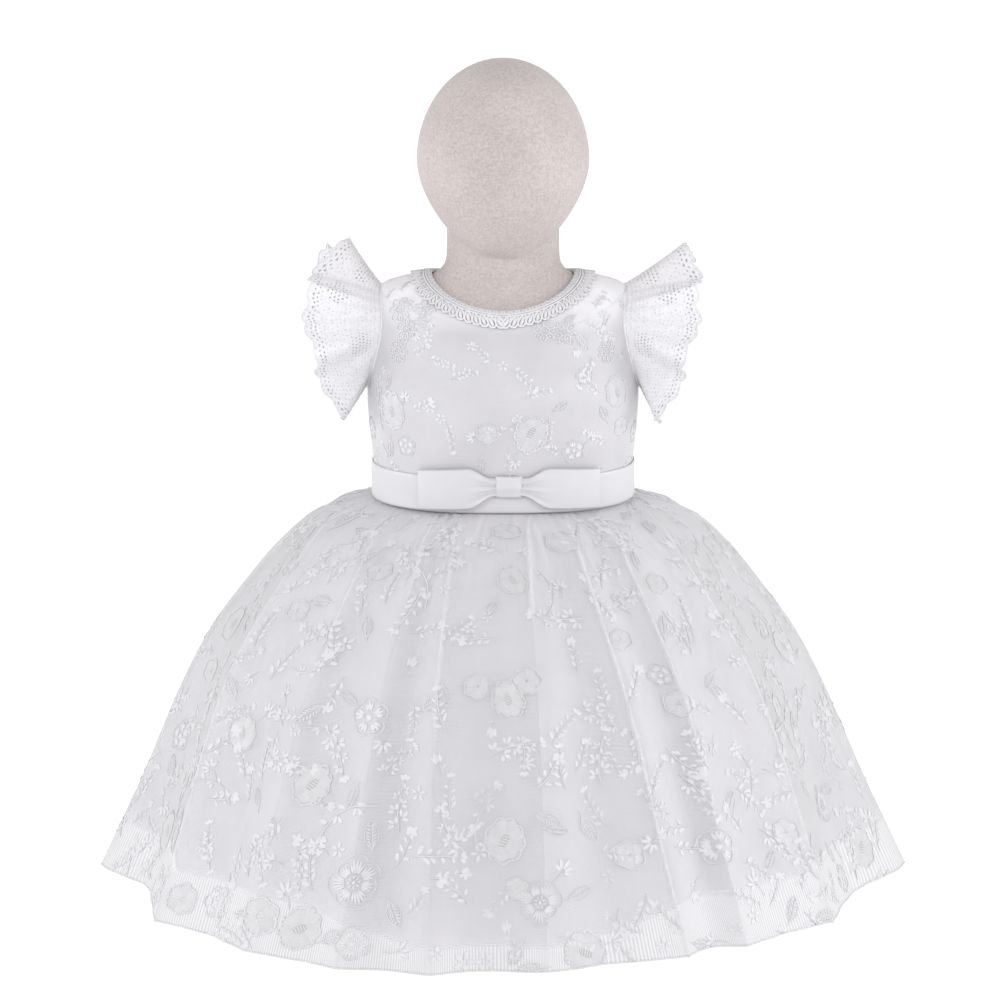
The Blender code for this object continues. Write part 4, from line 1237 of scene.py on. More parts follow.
def embroider_body(name, layout, height):
    """Works a layout on the body's face. height(level, angle) is how far its cloth stands out."""

    def lay(flat):
        angle, level, out = flat.T
        return body_point(level, angle, height(level, angle) + out)

    return embroider(name, layout, lambda angle, level: body_point(level, angle), lay, 1)


# ---- Settings that a user would change ----


def length_setting(name, description, default):
    return bpy.props.FloatProperty(
        name=name, description=description, default=default, min=0.0, precision=5, unit="LENGTH",
        subtype="DISTANCE",
    )


def share_setting(name, description, default, low, high):
    return bpy.props.FloatProperty(
        name=name, description=description, default=default, min=low, max=high, subtype="FACTOR"
    )


def colour_setting(name, description, default):
    return bpy.props.FloatVectorProperty(
        name=name, description=description, default=default, size=3, min=0.0, max=1.0, subtype="COLOR"
    )


class GownSizes(bpy.types.PropertyGroup):
    """Measures of the gown's cloth and trimmings."""

    net_pitch: length_setting("Net mesh", "Distance between the net's threads", 0.0009)
    net_thread: share_setting("Net thread", "Share of the mesh that a thread fills", 0.16, 0.05, 0.6)
    net_wall: length_setting("Net thickness", "Thickness of the embroidered net", 0.0003)
    lining_wall: length_setting("Lining thickness", "Thickness of the satin lining", 0.0005)
    bodice_wall: length_setting("Bodice thickness", "Thickness of the bodice's backed net", 0.0010)
    lace_wall: length_setting("Lace thickness", "Thickness of the sleeves' lace", 0.0005)
    hem_roll: length_setting("Hem roll", "Radius of the net's rolled hem", 0.00055)
    lace_cord: length_setting("Lace cord", "Radius of the cord along the lace's scallops", 0.0006)
    scallop: length_setting("Scallop", "Height of the lace's scallops", 0.0030)
    eyelet: share_setting("Eyelets", "Radius of the large eyelets as a share of a cell", 0.40, 0.1, 0.45)
    ground_eyelet: share_setting(
        "Mesh eyelets", "Radius of the small holes as a share of a cell", 0.25, 0.1, 0.45
    )
    braid_pitch: bpy.props.FloatProperty(
        name="Braid loops", description="Turn between the braid's loops", default=math.radians(5.2),
        min=0.02, max=1.0, unit="ROTATION", subtype="ANGLE",
    )


class GownLooks(bpy.types.PropertyGroup):
    """Colours of the gown, the form and the stand."""

    net_colour: colour_setting("Net", "Colour of the net", (0.86, 0.85, 0.88))
    lining_colour: colour_setting("Lining", "Colour of the satin lining", (0.715, 0.70, 0.735))
    thread_colour: colour_setting("Thread", "Colour of embroidery, lace and braid", (0.88, 0.872, 0.905))
    ribbon_colour: colour_setting("Ribbon", "Colour of the sash and the bow", (0.683, 0.674, 0.704))
    button_colour: colour_setting("Buttons", "Colour of the pearl buttons", (0.90, 0.88, 0.85))
    linen_colour: colour_setting("Linen", "Colour of the dress form's cover", (0.56, 0.50, 0.49))
    stand_colour: colour_setting("Stand", "Colour of the stand's paint", (0.84, 0.84, 0.84))


def settings():
    return bpy.context.scene.gown_sizes, bpy.context.scene.gown_looks


def kept_finish(make, *values):
    """A finish that is made once and shared by its pieces."""
    for found in bpy.data.materials:
        if found.get("made_by") == make.__name__:
            return found
    made = make(*values)
    made["made_by"] = make.__name__
    return made


# ---- Pieces ----

COLUMNS_PER_SIDE = 16
NET_ROWS = 118
LINING_COLUMNS_PER_SIDE = 8
LINING_ROWS = 70
HEM_COLUMNS_PER_SIDE = 24
SIDE_FROM = 8.0  # degrees off the middle at which a layer's hem starts to rise
SIDE_OVER = 26.0  # degrees over which it rises
BARE_BLEND = 0.008  # share of the skirt's length over which the bare net below the lining begins
LINING_HEM_ROLL = 0.0007
TOP_SHARE = 0.5  # width of a skirt panel's top, as a share of its hem
HALVES = {"front": FRONT_PLEATS, "back": BACK_PLEATS}
# ends in the middle and at the sides, insets at waist and hem, crispness, and strength of the folds
NET_LAYER = ((1.0, 1.0), (0.0, 0.0), 1.0, 1.0)
LINING_LAYER = (LINING_ENDS, (LINING_INSET_WAIST, LINING_INSET_HEM), LINING_CRISPNESS, 0.35)


def column_positions(pleats, per_side):
    """Counts of pleat lines for a skirt's columns, which lie close together at the crisp edges."""
    near = (np.arange(per_side) / per_side) ** 1.5
    far = 1 - (1 - np.arange(per_side) / per_side) ** 1.5
    sides = [number + (near if pleats[number][5] > 0 else far) for number in range(len(pleats) - 1)]
    return np.append(np.concatenate(sides), len(pleats) - 1.0)


def hem_length(pleats, end):
    """The length of a skirt half's outline at a share of its length."""
    line = skirt_point(pleats, np.linspace(0, len(pleats) - 1, 800), end, 0.0)[0]
    return float(np.sum(np.linalg.norm(np.diff(line, axis=0), axis=1)))


def layer_ends(pleats, positions, end, side_end):
    """Shares of the skirt's length where a layer ends: higher at the sides than in the middle."""
    angle = np.interp(positions, np.arange(len(pleats)), pleats[:, 2])
    off = np.minimum(np.abs(angle), np.abs(180 - np.abs(angle)))
    return mix(end, side_end, eased((off - SIDE_FROM) / SIDE_OVER))


def make_skirt_layer(name, half, per_side, rows, layer):
    """A half of a skirt layer, from the waist to its hem, and its flat size."""
    pleats = HALVES[half]
    ends, insets, softened, detail = layer
    positions = column_positions(pleats, per_side)
    columns = len(positions) - 1
    column_ends = layer_ends(pleats, positions, *ends)
    lining_ends = layer_ends(pleats, positions, *LINING_ENDS)
    marks = {}

    def place(across, up):
        column = np.rint(across * columns).astype(int)
        share = (1 - up) * column_ends[column]
        points, marks["fold"] = skirt_point(
            pleats, positions[column], share, mix(*insets, share), softened, detail
        )
        marks["bare"] = eased((share - lining_ends[column]) / BARE_BLEND + 0.5)
        return points

    end = float(np.mean(column_ends))
    flat = (hem_length(pleats, end), SKIRT_SLOPE * end)
    made = add_sheet(name, columns, rows, place, flat)
    for mark, values in marks.items():
        kept = made.data.attributes.new(mark, "FLOAT", "POINT")
        kept.data.foreach_set("value", values.astype(np.float32))
    return made, flat


def make_hem_roll(name, half, layer, radius):
    """The narrow rolled edge of a skirt layer."""
    pleats = HALVES[half]
    ends, insets, softened, detail = layer
    positions = column_positions(pleats, HEM_COLUMNS_PER_SIDE)
    end = layer_ends(pleats, positions, *ends)
    line = skirt_point(pleats, positions, end, mix(*insets, end), softened, detail)[0]
    shape = new_shape()
    tube_along(shape, line, radius, 6)
    return to_object(name, shape)


class GOWN_OT_skirt_net(bpy.types.Operator):
    """Make the skirt's two halves of gathered net with their rolled hems"""

    bl_idname = "gown.skirt_net"
    bl_label = "Skirt net"

    def execute(self, context):
        sizes, looks = settings()
        for half in HALVES:
            net, flat = make_skirt_layer(f"net_{half}", half, COLUMNS_PER_SIDE, NET_ROWS, NET_LAYER)
            thicken(net, sizes.net_wall)
            declare(net, kept_finish(net_finish, looks, sizes), "embroidered_net", f"skirt_net_{half}")
            hem = make_hem_roll(f"net_hem_{half}", half, NET_LAYER, sizes.hem_roll)
            declare(hem, kept_finish(stitch_finish, looks), "embroidered_net")
            cut_area(*flat, flat[0] * TOP_SHARE)
        return {"FINISHED"}


class GOWN_OT_skirt_lining(bpy.types.Operator):
    """Make the skirt's satin lining with its stitched hem"""

    bl_idname = "gown.skirt_lining"
    bl_label = "Skirt lining"

    def execute(self, context):
        sizes, looks = settings()
        finish = kept_finish(lining_finish, looks)
        for half in HALVES:
            lining, flat = make_skirt_layer(
                f"lining_{half}", half, LINING_COLUMNS_PER_SIDE, LINING_ROWS, LINING_LAYER
            )
            thicken(lining, sizes.lining_wall)
            declare(lining, finish, "satin_lining", f"skirt_lining_{half}")
            hem = make_hem_roll(f"lining_hem_{half}", half, LINING_LAYER, LINING_HEM_ROLL)
            declare(hem, finish, "satin_lining")
            cut_area(*flat, flat[0] * TOP_SHARE)
        return {"FINISHED"}


SKIRT_RADII = (95, 290)  # the skirt's mean radius at waist and hem, in millimetres
SKIRT_FILLERS = (
    "spray", "spray", "spray", "sprig", "flowering_sprig", "flowering_sprig", "frond", "scroll", "leaf"
)


class GOWN_OT_skirt_embroidery(bpy.types.Operator):
    """Work the roses, daisies and sprigs on the skirt's net"""

    bl_idname = "gown.skirt_embroidery"
    bl_label = "Skirt embroidery"

    def execute(self, context):
        looks = settings()[1]
        full = SKIRT_LAYOUT + between_flowers(
            SKIRT_LAYOUT, 89, np.linspace(0.06, 0.975, 20), 19.0, SKIRT_SLOPE / MM,
            lambda share: math.radians(1) * mix(*SKIRT_RADII, share), SKIRT_FILLERS, (0.7, 1.0), 7,
        )
        for half, layout, middle in (("front", full, 0), ("back", mirrored(full), 180)):
            pleats = HALVES[half]
            for part, first, last in (("right", -90, -30), ("middle", -30, 30), ("left", 30, 91)):
                rows = tuple(row for row in layout if first <= row[1] - middle < last)
                made = embroider(
                    f"embroidery_skirt_{half}_{part}", rows, skirt_base,
                    lambda flat, pleats=pleats: on_skirt(pleats, *flat.T), -1,
                )
                declare(made, kept_finish(stitch_finish, looks), "embroidered_net")
        return {"FINISHED"}


def panel_edge(angle, level, middle, side):
    """The angle of a bodice panel's edge at levels: in from the side by the armhole."""
    share = np.clip((level - ARMHOLE_BOTTOM) / (ARMHOLE_TOP - ARMHOLE_BOTTOM), 0.0, 1.0)
    seam = np.degrees(SEAM_GAP / 2 / smooth_rows(BODY, level)[1])
    cut = np.zeros_like(share)
    if abs(angle) == 90:
        reach = ARMHOLE_FRONT_CUT if abs(middle) < 90 else ARMHOLE_BACK_CUT
        cut = reach * 2 * np.sqrt(share * (1 - share))
    return angle + side * (cut + seam)


class GOWN_OT_bodice(bpy.types.Operator):
    """Make the bodice's front and its two backs of net mounted on satin"""

    bl_idname = "gown.bodice"
    bl_label = "Bodice"

    def execute(self, context):
        sizes, looks = settings()
        for name, columns, first, last in (
            ("bodice_front", 120, -90, 90),
            ("bodice_back_left", 60, 90, 180),
            ("bodice_back_right", 60, -180, -90),
        ):
            middle = (first + last) / 2

            def place(across, up, first=first, last=last, middle=middle):
                level = up * NECKLINE
                one, other = panel_edge(first, level, middle, 1), panel_edge(last, level, middle, -1)
                angle = mix(one, other, across)
                return body_point(level, angle, bodice_folds(level, angle))

            flat = (math.radians(last - first) * BODICE_RADIUS, BODICE_LENGTH)
            panel = add_sheet(f"cloth_{name}", columns, 84, place, flat)
            thicken(panel, sizes.bodice_wall)
            declare(panel, kept_finish(backed_net_finish, looks, sizes), "embroidered_net", name)
        return {"FINISHED"}


LEVEL_MM = 20.4  # a level of BODY, up the bodice
DEGREE_MM = 1.5  # a degree, across the bodice
BODICE_MEAN_RADIUS = 82  # in millimetres
ARMHOLE_ROOM = (33, 31)  # an armhole's half width and half height with a margin, in millimetres
STEM_REACH = 6  # millimetres that a long motif reaches to either side of its stem


def clear_of_armhole(kind, angle, level, size, turn):
    """Whether a motif on the bodice lies on its cloth, clear of the armholes' edges."""
    length = MOTIF_LENGTH.get(kind, 0) * size
    reach = STEM_REACH if length else reach_of(kind, size)
    x, y = polar(length, turn + 90)
    for share in (0, 0.33, 0.67, 1):
        across = (90 - abs(angle + x * share / DEGREE_MM)) * DEGREE_MM
        up = (level + y * share / LEVEL_MM - ARMHOLE_MIDDLE) * LEVEL_MM
        if math.hypot(across / (ARMHOLE_ROOM[0] + reach), up / (ARMHOLE_ROOM[1] + reach)) <= 1:
            return False
    return True


class GOWN_OT_bodice_embroidery(bpy.types.Operator):
    """Work the flowers and sprigs on the bodice"""

    bl_idname = "gown.bodice_embroidery"
    bl_label = "Bodice embroidery"

    def execute(self, context):
        looks = settings()[1]
        small = between_flowers(
            BODICE_LAYOUT, 86, np.linspace(0.5, 6.3, 9), 12.0, LEVEL_MM,
            lambda level: math.radians(1) * BODICE_MEAN_RADIUS,
            ("sprig", "flowering_sprig", "star", "frond", "bud"), (0.42, 0.6), 5,
        )
        full = BODICE_LAYOUT + tuple(row for row in small if abs(row[1]) > 46)
        full = tuple(row for row in full if clear_of_armhole(*row))
        behind = mirrored(row for row in full if 22 < abs(row[1]) < 76 and row[2] < 6.4)
        for half, layout in (("front", full), ("back", behind)):
            made = embroider_body(f"embroidery_bodice_{half}", layout, bodice_folds)
            declare(made, kept_finish(bodice_stitch_finish, looks), "embroidered_net")
        return {"FINISHED"}


LACE_COLUMNS = 118
LACE_ROWS = 18
LACE_SCALLOPS = 24
LACE_CELL = 0.0026
LACE_NESTS = ((0.20, 0.30), (0.36, 0.62), (0.46, 0.36), (0.64, 0.34), (0.80, 0.50))
FLUTTERS = 19
FLUTTER_HEIGHT = 0.0016
PIPING_RADIUS = 0.0010


def sleeve_face(side, across, free, scallop):
    """Points of a sleeve's lace, drawn on the left, and the way that it faces. across goes round the
    armhole and free from the armhole to the scalloped edge."""
    across, free = np.broadcast_arrays(np.asarray(across, float), np.asarray(free, float))
    turn = mix(RUFFLE_START, 360 - RUFFLE_START, across)
    outward, forward, upward, width = smooth_rows(RUFFLES[side], across * (len(RUFFLES[side]) - 1))
    root = armhole_point(turn, LAY_GAP + WALL / 2)
    along = armhole_point(turn + 2, 0) - armhole_point(turn - 2, 0)
    way = unit(np.stack((outward, -forward, upward), axis=-1))
    facing = unit(np.cross(along, way))
    wave = np.sin(math.tau * RUFFLE_WAVES * across + math.pi / 3) * RUFFLE_WAVE_HEIGHT * free**1.3
    flutter = np.sin(math.tau * FLUTTERS * across + 2 * np.sin(math.tau * 3 * across))
    wave = wave + flutter * FLUTTER_HEIGHT * free**0.8
    ends = eased(np.minimum(across, 1 - across) / 0.05)
    edge = (np.abs(np.cos(math.pi * LACE_SCALLOPS * across)) - 0.6) * scallop * free**4 * ends
    wave = wave * (0.35 + 0.65 * ends)
    return root + way * (width * free + edge)[..., None] + facing * wave[..., None], facing


def eyelet_groups(columns, rows, large, small):
    """Each cell's eyelet, its radius, whether it is a large one (those along the edge and in nests)
    and how far it lies off the cell's middle."""
    rng = np.random.default_rng(11)
    for column in range(columns):
        for row in range(rows):
            across, free = (column + 0.5) / columns, 1 - (row + 0.5) / rows
            nest = any(((across - x) / 0.035) ** 2 + ((free - y) / 0.17) ** 2 < 1 for x, y in LACE_NESTS)
            big = row in (1, 2) or nest
            if big:
                radius, shift = large * rng.choice((0.7, 0.85, 1.0)), 0.07
            else:
                radius, shift = small * rng.choice((0.4, 0.7, 1.0, 1.3)), 0.15
            yield column, row, round(float(radius), 3), big, rng.uniform(-1, 1, 2) * shift


def make_lace(name, side, sizes):
    """A gathered strip of lace with its eyelets outlined and filled by the grounds, painted darker as
    painted shade.
    """
    shape = new_shape()
    columns, rows = LACE_COLUMNS, LACE_ROWS
    move = Matrix.Diagonal((columns, rows, 1.0, 1.0)) @ Matrix.Translation((0.5, 0.5, 0.0))
    bmesh.ops.create_grid(shape, x_segments=columns * 2, y_segments=rows * 2, size=0.5, matrix=move)
    middles = {(round(vert.co.x * 2), round(vert.co.y * 2)): vert for vert in shape.verts}
    groups = {}
    eyelets = eyelet_groups(columns, rows, sizes.eyelet, sizes.ground_eyelet)
    for column, row, radius, big, shift in eyelets:
        middle = middles[(column * 2 + 1, row * 2 + 1)]
        middle.co += Vector((*shift, 0.0))
        groups.setdefault((radius, big), []).append(middle)
    for (radius, big), verts in groups.items():
        cut = bmesh.ops.bevel(shape, geom=verts, offset=radius, offset_type="OFFSET", segments=2,
                              profile=0.5, affect="VERTICES", material=-1)
        for face in cut["faces"]:
            # painted shade: faces inside the eyelets take the darkened ground finishes
            face.material_index = 1 if big else 2
    map_cloth(shape, shape.faces, LACE_CELL, LACE_CELL)
    made = to_object(name, shape, 75)
    flat = points_of(made.data)
    flat[:, 0] += np.cos(np.pi * np.floor(flat[:, 1])) * np.sin(np.pi * (flat[:, 1] % 1)) * 0.25
    across = np.clip(flat[:, 0], 0, columns) / columns
    points = sleeve_face(side, across, 1 - flat[:, 1] / rows, sizes.scallop)[0]
    put_points(made.data, points * (side, 1.0, 1.0))
    if side > 0:
        made.data.flip_normals()
    return made


class GOWN_OT_sleeves(bpy.types.Operator):
    """Make the two flutter sleeves of eyelet lace with their corded scallops"""

    bl_idname = "gown.sleeves"
    bl_label = "Lace sleeves"

    def execute(self, context):
        sizes, looks = settings()
        for name, side in (("sleeve_left", 1), ("sleeve_right", -1)):
            mirror = (side, 1.0, 1.0)
            lace = make_lace(f"lace_{name}", side, sizes)
            declare(lace, kept_finish(lace_finish, looks), "eyelet_lace", name)
            # the eyelets' ground finishes, painted darker as painted shade
            for ground in (eyelet_finish, mesh_ground_finish):
                lace.data.materials.append(kept_finish(ground, looks))
            thicken(lace, sizes.lace_wall, both_ways=True)
            line, facing = sleeve_face(side, np.linspace(0, 1, 301), 1.0, sizes.scallop)
            shape = new_shape()
            tube_along(shape, line * mirror, sizes.lace_cord, 6, over=facing * mirror)
            edge = to_object(f"lace_edge_{name}", shape)
            declare(edge, kept_finish(braid_finish, looks), "eyelet_lace")
            turn = np.linspace(0, 354, 100)
            facing = body_normal(np.full_like(turn, ARMHOLE_MIDDLE), 90.0) * mirror
            shape = new_shape()
            line = armhole_point(turn, 0.0002) * mirror
            tube_along(shape, line, PIPING_RADIUS, 8, closed=True, over=facing)
            piping = to_object(f"piping_{name}", shape)
            declare(piping, kept_finish(lace_finish, looks), "eyelet_lace")
        return {"FINISHED"}


TAPE_WALL = BRAID_WALL * 0.4
BRAID_LIFT = BRAID_GAP + BRAID_WALL * 0.45


def braid_depth(angle):
    """The braid's depth in levels of BODY, which is less at the sides than in the middle."""
    return mix(BRAID_SIDE_LEVELS, BRAID_FRONT_LEVELS, np.abs(np.cos(np.radians(angle))))


def draw_braid_leaf(shape):
    """A slanting loop of cord round a smaller pad."""
    loop = [(x * (1 - 0.35 * y / 4.6), y) for y, x in (oval(4.6, 2.3, t) for t in range(0, 360, 24))]
    add_cord(shape, loop, 0.7, True, 5)
    add_pad(shape, (0, -0.3), (7.4, 2.7, 1.5), 90, 0.1, 8, 4)


def draw_braid_arch(shape):
    """A short upright loop of cord."""
    loop = [oval(2.2, 1.7, t)[::-1] for t in range(0, 360, 30)]
    add_cord(shape, loop, 0.55, True, 5)


def draw_stitch(shape):
    """A single hand stitch."""
    add_bar(shape, (0, -1.0), (0, 1.0), 0.55, 0.5)


MOTIFS.update({"braid_leaf": draw_braid_leaf, "braid_arch": draw_braid_arch, "stitch": draw_stitch})


class GOWN_OT_neck_braid(bpy.types.Operator):
    """Make the looped braid round the neckline on its tape"""

    bl_idname = "gown.neck_braid"
    bl_label = "Neck braid"

    def execute(self, context):
        sizes, looks = settings()
        finish = kept_finish(braid_finish, looks)

        def tape_place(across, up):
            angle = mix(-BRAID_END, BRAID_END, across)
            level = mix(NECKLINE - braid_depth(angle) * 0.62, NECKLINE, up)
            return body_point(level, angle, BRAID_GAP + TAPE_WALL)

        tape = add_sheet("braid_tape", 200, 6, tape_place, BRAID_STRIP)
        thicken(tape, TAPE_WALL)
        declare(tape, finish, "gimp_braid", "neck_braid")

        pitch = math.degrees(sizes.braid_pitch)
        count = int(2 * (BRAID_END - 2) / pitch)
        layout = []
        for number in range(count + 1):
            angle = -BRAID_END + 2 + number * 2 * (BRAID_END - 2) / count
            depth = float(braid_depth(angle))
            lean = 28 if angle < 0 else -28
            size = 0.85 + 0.55 * (depth - BRAID_SIDE_LEVELS)
            layout.append(("braid_leaf", angle, NECKLINE - depth * 0.70, size, lean))
            layout.append(("braid_arch", angle, NECKLINE - 0.19, 0.95, 0))
        loops = embroider_body("braid_loops", layout, lambda level, angle: BRAID_LIFT)
        declare(loops, finish, "gimp_braid")

        cords = new_shape()
        angle = np.linspace(-BRAID_END, BRAID_END, 260)
        for share in (0.32, 0.42):
            level = NECKLINE - braid_depth(angle) * share
            facing = body_normal(level, angle)
            tube_along(cords, body_point(level, angle, BRAID_LIFT + 0.0007), 0.00062, 6, over=facing)
        level = np.full_like(angle, NECKLINE)
        line = body_point(level, angle, 0.0005)
        tube_along(cords, line, 0.0007, 6, over=body_normal(level, angle))
        core = to_object("braid_cords", cords)
        declare(core, finish, "gimp_braid")
        return {"FINISHED"}


class GOWN_OT_sash(bpy.types.Operator):
    """Make the satin sash round the waist"""

    bl_idname = "gown.sash"
    bl_label = "Sash"

    def execute(self, context):
        looks = settings()[1]

        def place(across, up):
            angle = mix(-SASH_END, SASH_END, across)
            waves = np.sin(np.radians(angle * 3 + 40)) * np.sin(math.tau * up * 1.2 + np.radians(angle * 2))
            edges = np.exp(-((up / 0.04) ** 2)) + np.exp(-(((1 - up) / 0.04) ** 2))
            out = LAY_GAP + RIBBON_WALL + waves * SASH_WAVE - edges * SASH_EDGE
            return body_point(mix(SASH_BOTTOM, SASH_TOP, up), angle, out)

        sash = add_sheet("ribbon_sash", 280, 24, place, SASH_STRIP)
        thicken(sash, RIBBON_WALL * 0.5)
        declare(sash, kept_finish(ribbon_finish, looks), "satin_ribbon", "sash")
        return {"FINISHED"}


def bow_wing_face(side, across, up):
    """Points of a flat loop of ribbon: out along the front, round its end and back by the sash."""
    turn = np.pi * across
    reach = np.sin(turn)
    front = across < 0.5
    opened = eased((reach - WING_OPEN_FROM) / (WING_OPEN_BY - WING_OPEN_FROM))
    half_height = mix(WING_PINCH + 0.0014, WING_HALF_HEIGHT, opened)
    depth = WING_DEPTH * (0.5 + 0.5 * np.sin(np.pi * np.minimum(reach, 0.75) / 1.5))
    out = depth * (1 + np.where(front, 1, -1) * np.abs(np.cos(turn)) ** 0.35) / 2
    fans = np.sin(math.tau * (up * 2.6 + 0.2)) * 0.0009 + np.sin(math.tau * (up * 5.2 - 0.1)) * 0.0004
    pleat = fans * np.exp(-(((reach - 0.16) / 0.2) ** 2)) * front
    bulge = 0.0010 * np.sin(math.pi * up) * opened * front
    rise = mix(BOW_KNOT_RISE, BOW_END_RISE, reach) + (up * 2 - 1) * half_height
    return on_sash(side * mix(BOW_START, BOW_END, reach), rise, out + pleat + bulge)


class GOWN_OT_bow(bpy.types.Operator):
    """Make the flat satin bow and its knot"""

    bl_idname = "gown.bow"
    bl_label = "Bow"

    def execute(self, context):
        looks = settings()[1]
        finish = kept_finish(ribbon_finish, looks)
        for name, side in (("bow_wing_left", 1), ("bow_wing_right", -1)):
            wing = add_sheet(
                f"ribbon_{name}", 90, 28, lambda across, up, side=side: bow_wing_face(side, across, up),
                WING_STRIP,
            )
            if side < 0:
                wing.data.flip_normals()
            thicken(wing, RIBBON_WALL * 0.6)
            declare(wing, finish, "satin_ribbon", name)

        def knot_place(across, up):
            turn = np.pi * up
            ridge = np.sin(turn * 5) * 0.00035 * np.sin(turn)
            rise = BOW_KNOT_RISE - np.cos(turn) * KNOT_HALF_HEIGHT
            sides = 1 - 0.5 * np.abs(across * 2 - 1) ** 3
            out = np.sin(turn).clip(0) ** 0.5 * (KNOT_DEPTH - 0.0026) * sides + ridge
            x = mix(-KNOT_HALF_WIDTH, KNOT_HALF_WIDTH, across) * (1 - 0.06 * np.sin(turn))
            return on_sash(np.degrees(x / float(smooth_rows(BODY, BOW_LEVEL)[2])), rise, out)

        knot = add_sheet("ribbon_bow_knot", 24, 40, knot_place, KNOT_STRIP)
        thicken(knot, RIBBON_WALL * 0.6)
        declare(knot, finish, "satin_ribbon", "bow_knot")
        return {"FINISHED"}


def make_button(name, level):
    """A dished button with a rim, sewn on with a cross of thread."""
    shape = new_shape()
    verts = [shape.verts.new((x * BUTTON_RADIUS, 0.0, z)) for x, z in BUTTON_PROFILE]
    edges = [shape.edges.new(pair) for pair in zip(verts, verts[1:])]
    bmesh.ops.spin(shape, geom=verts + edges, cent=(0, 0, 0), axis=(0, 0, 1), dvec=(0, 0, 0),
                   angle=math.tau, steps=36, use_merge=True)
    bmesh.ops.remove_doubles(shape, verts=shape.verts, dist=1e-6)
    bmesh.ops.recalc_face_normals(shape, faces=shape.faces)
    thread = new_shape()
    for turn in (45, 135):
        way = Matrix.Rotation(math.radians(turn), 4, "Z")
        size = Matrix.Diagonal((0.0030, 0.0005, 0.0009, 1.0))
        place = Matrix.Translation((0, 0, 0.0010)) @ way @ size
        bmesh.ops.create_uvsphere(thread, u_segments=8, v_segments=6, radius=0.5, matrix=place)
    facing = Vector(body_normal(level, 180.0))
    seat = Vector(body_point(level, 180.0, LAY_GAP * 2 + RIBBON_WALL + 0.0006))
    stand = Matrix.Translation(seat) @ facing.to_track_quat("Z", "Y").to_matrix().to_4x4()
    pieces = []
    for part, mesh in ((name, shape), (f"{name}_thread", thread)):
        bmesh.ops.transform(mesh, matrix=stand, verts=mesh.verts)
        pieces.append(to_object(part, mesh, 40))
    return pieces


class GOWN_OT_back_closing(bpy.types.Operator):
    """Make the back placket with its stitching and three pearl buttons"""

    bl_idname = "gown.back_closing"
    bl_label = "Placket and buttons"

    def execute(self, context):
        looks = settings()[1]

        def place(across, up):
            angle = 180 + mix(-PLACKET_HALF_ANGLE, PLACKET_HALF_ANGLE, across)
            edge = np.exp(-(((np.abs(across - 0.5) - 0.36) / 0.03) ** 2)) * 0.00022
            return body_point(mix(PLACKET_BOTTOM, PLACKET_TOP, up), angle, LAY_GAP + RIBBON_WALL - edge)

        placket = add_sheet("placket", 34, 60, place, PLACKET_STRIP)
        thicken(placket, RIBBON_WALL * 0.7)
        declare(placket, kept_finish(lining_finish, looks), "satin_ribbon", "back_placket")
        levels = np.arange(PLACKET_BOTTOM + 0.1, PLACKET_TOP - 0.05, 0.14)
        layout = [("stitch", 180 + side * 4.7, level, 1.0, 0) for side in (-1, 1) for level in levels]
        height = LAY_GAP + RIBBON_WALL - 0.0002
        stitches = embroider_body("placket_stitches", layout, lambda level, angle: height)
        declare(stitches, kept_finish(stitch_finish, looks), "satin_ribbon")
        extras = [stitches]
        for number, level in enumerate(BUTTON_LEVELS, 1):
            button, thread = make_button(f"button_{number}", level)
            declare(button, kept_finish(pearl_finish, looks), "pearl_button", f"back_button_{number}")
            declare(thread, kept_finish(braid_finish, looks), "pearl_button")
            extras += [button, thread]
        return {"FINISHED"}


FORM_COLUMNS = 112


def form_rings():
    """The rings of the form's torso and neck, from the bottom up."""
    angle = np.linspace(0, 360, FORM_COLUMNS + 1)
    hips = [ring_point(smooth_rows(HIPS, at), angle) for at in np.linspace(0, len(HIPS) - 1, 16)]
    body = []
    for level in np.linspace(0, NECKLINE, 36):
        inset = float(np.interp(level, np.arange(len(FORM_INSETS)), FORM_INSETS))
        body.append(body_point(level, angle, -inset))
    neck = [ring_point(smooth_rows(NECK, at), angle) for at in np.linspace(0, len(NECK) - 1, 12)]
    return np.array(hips + body + neck)


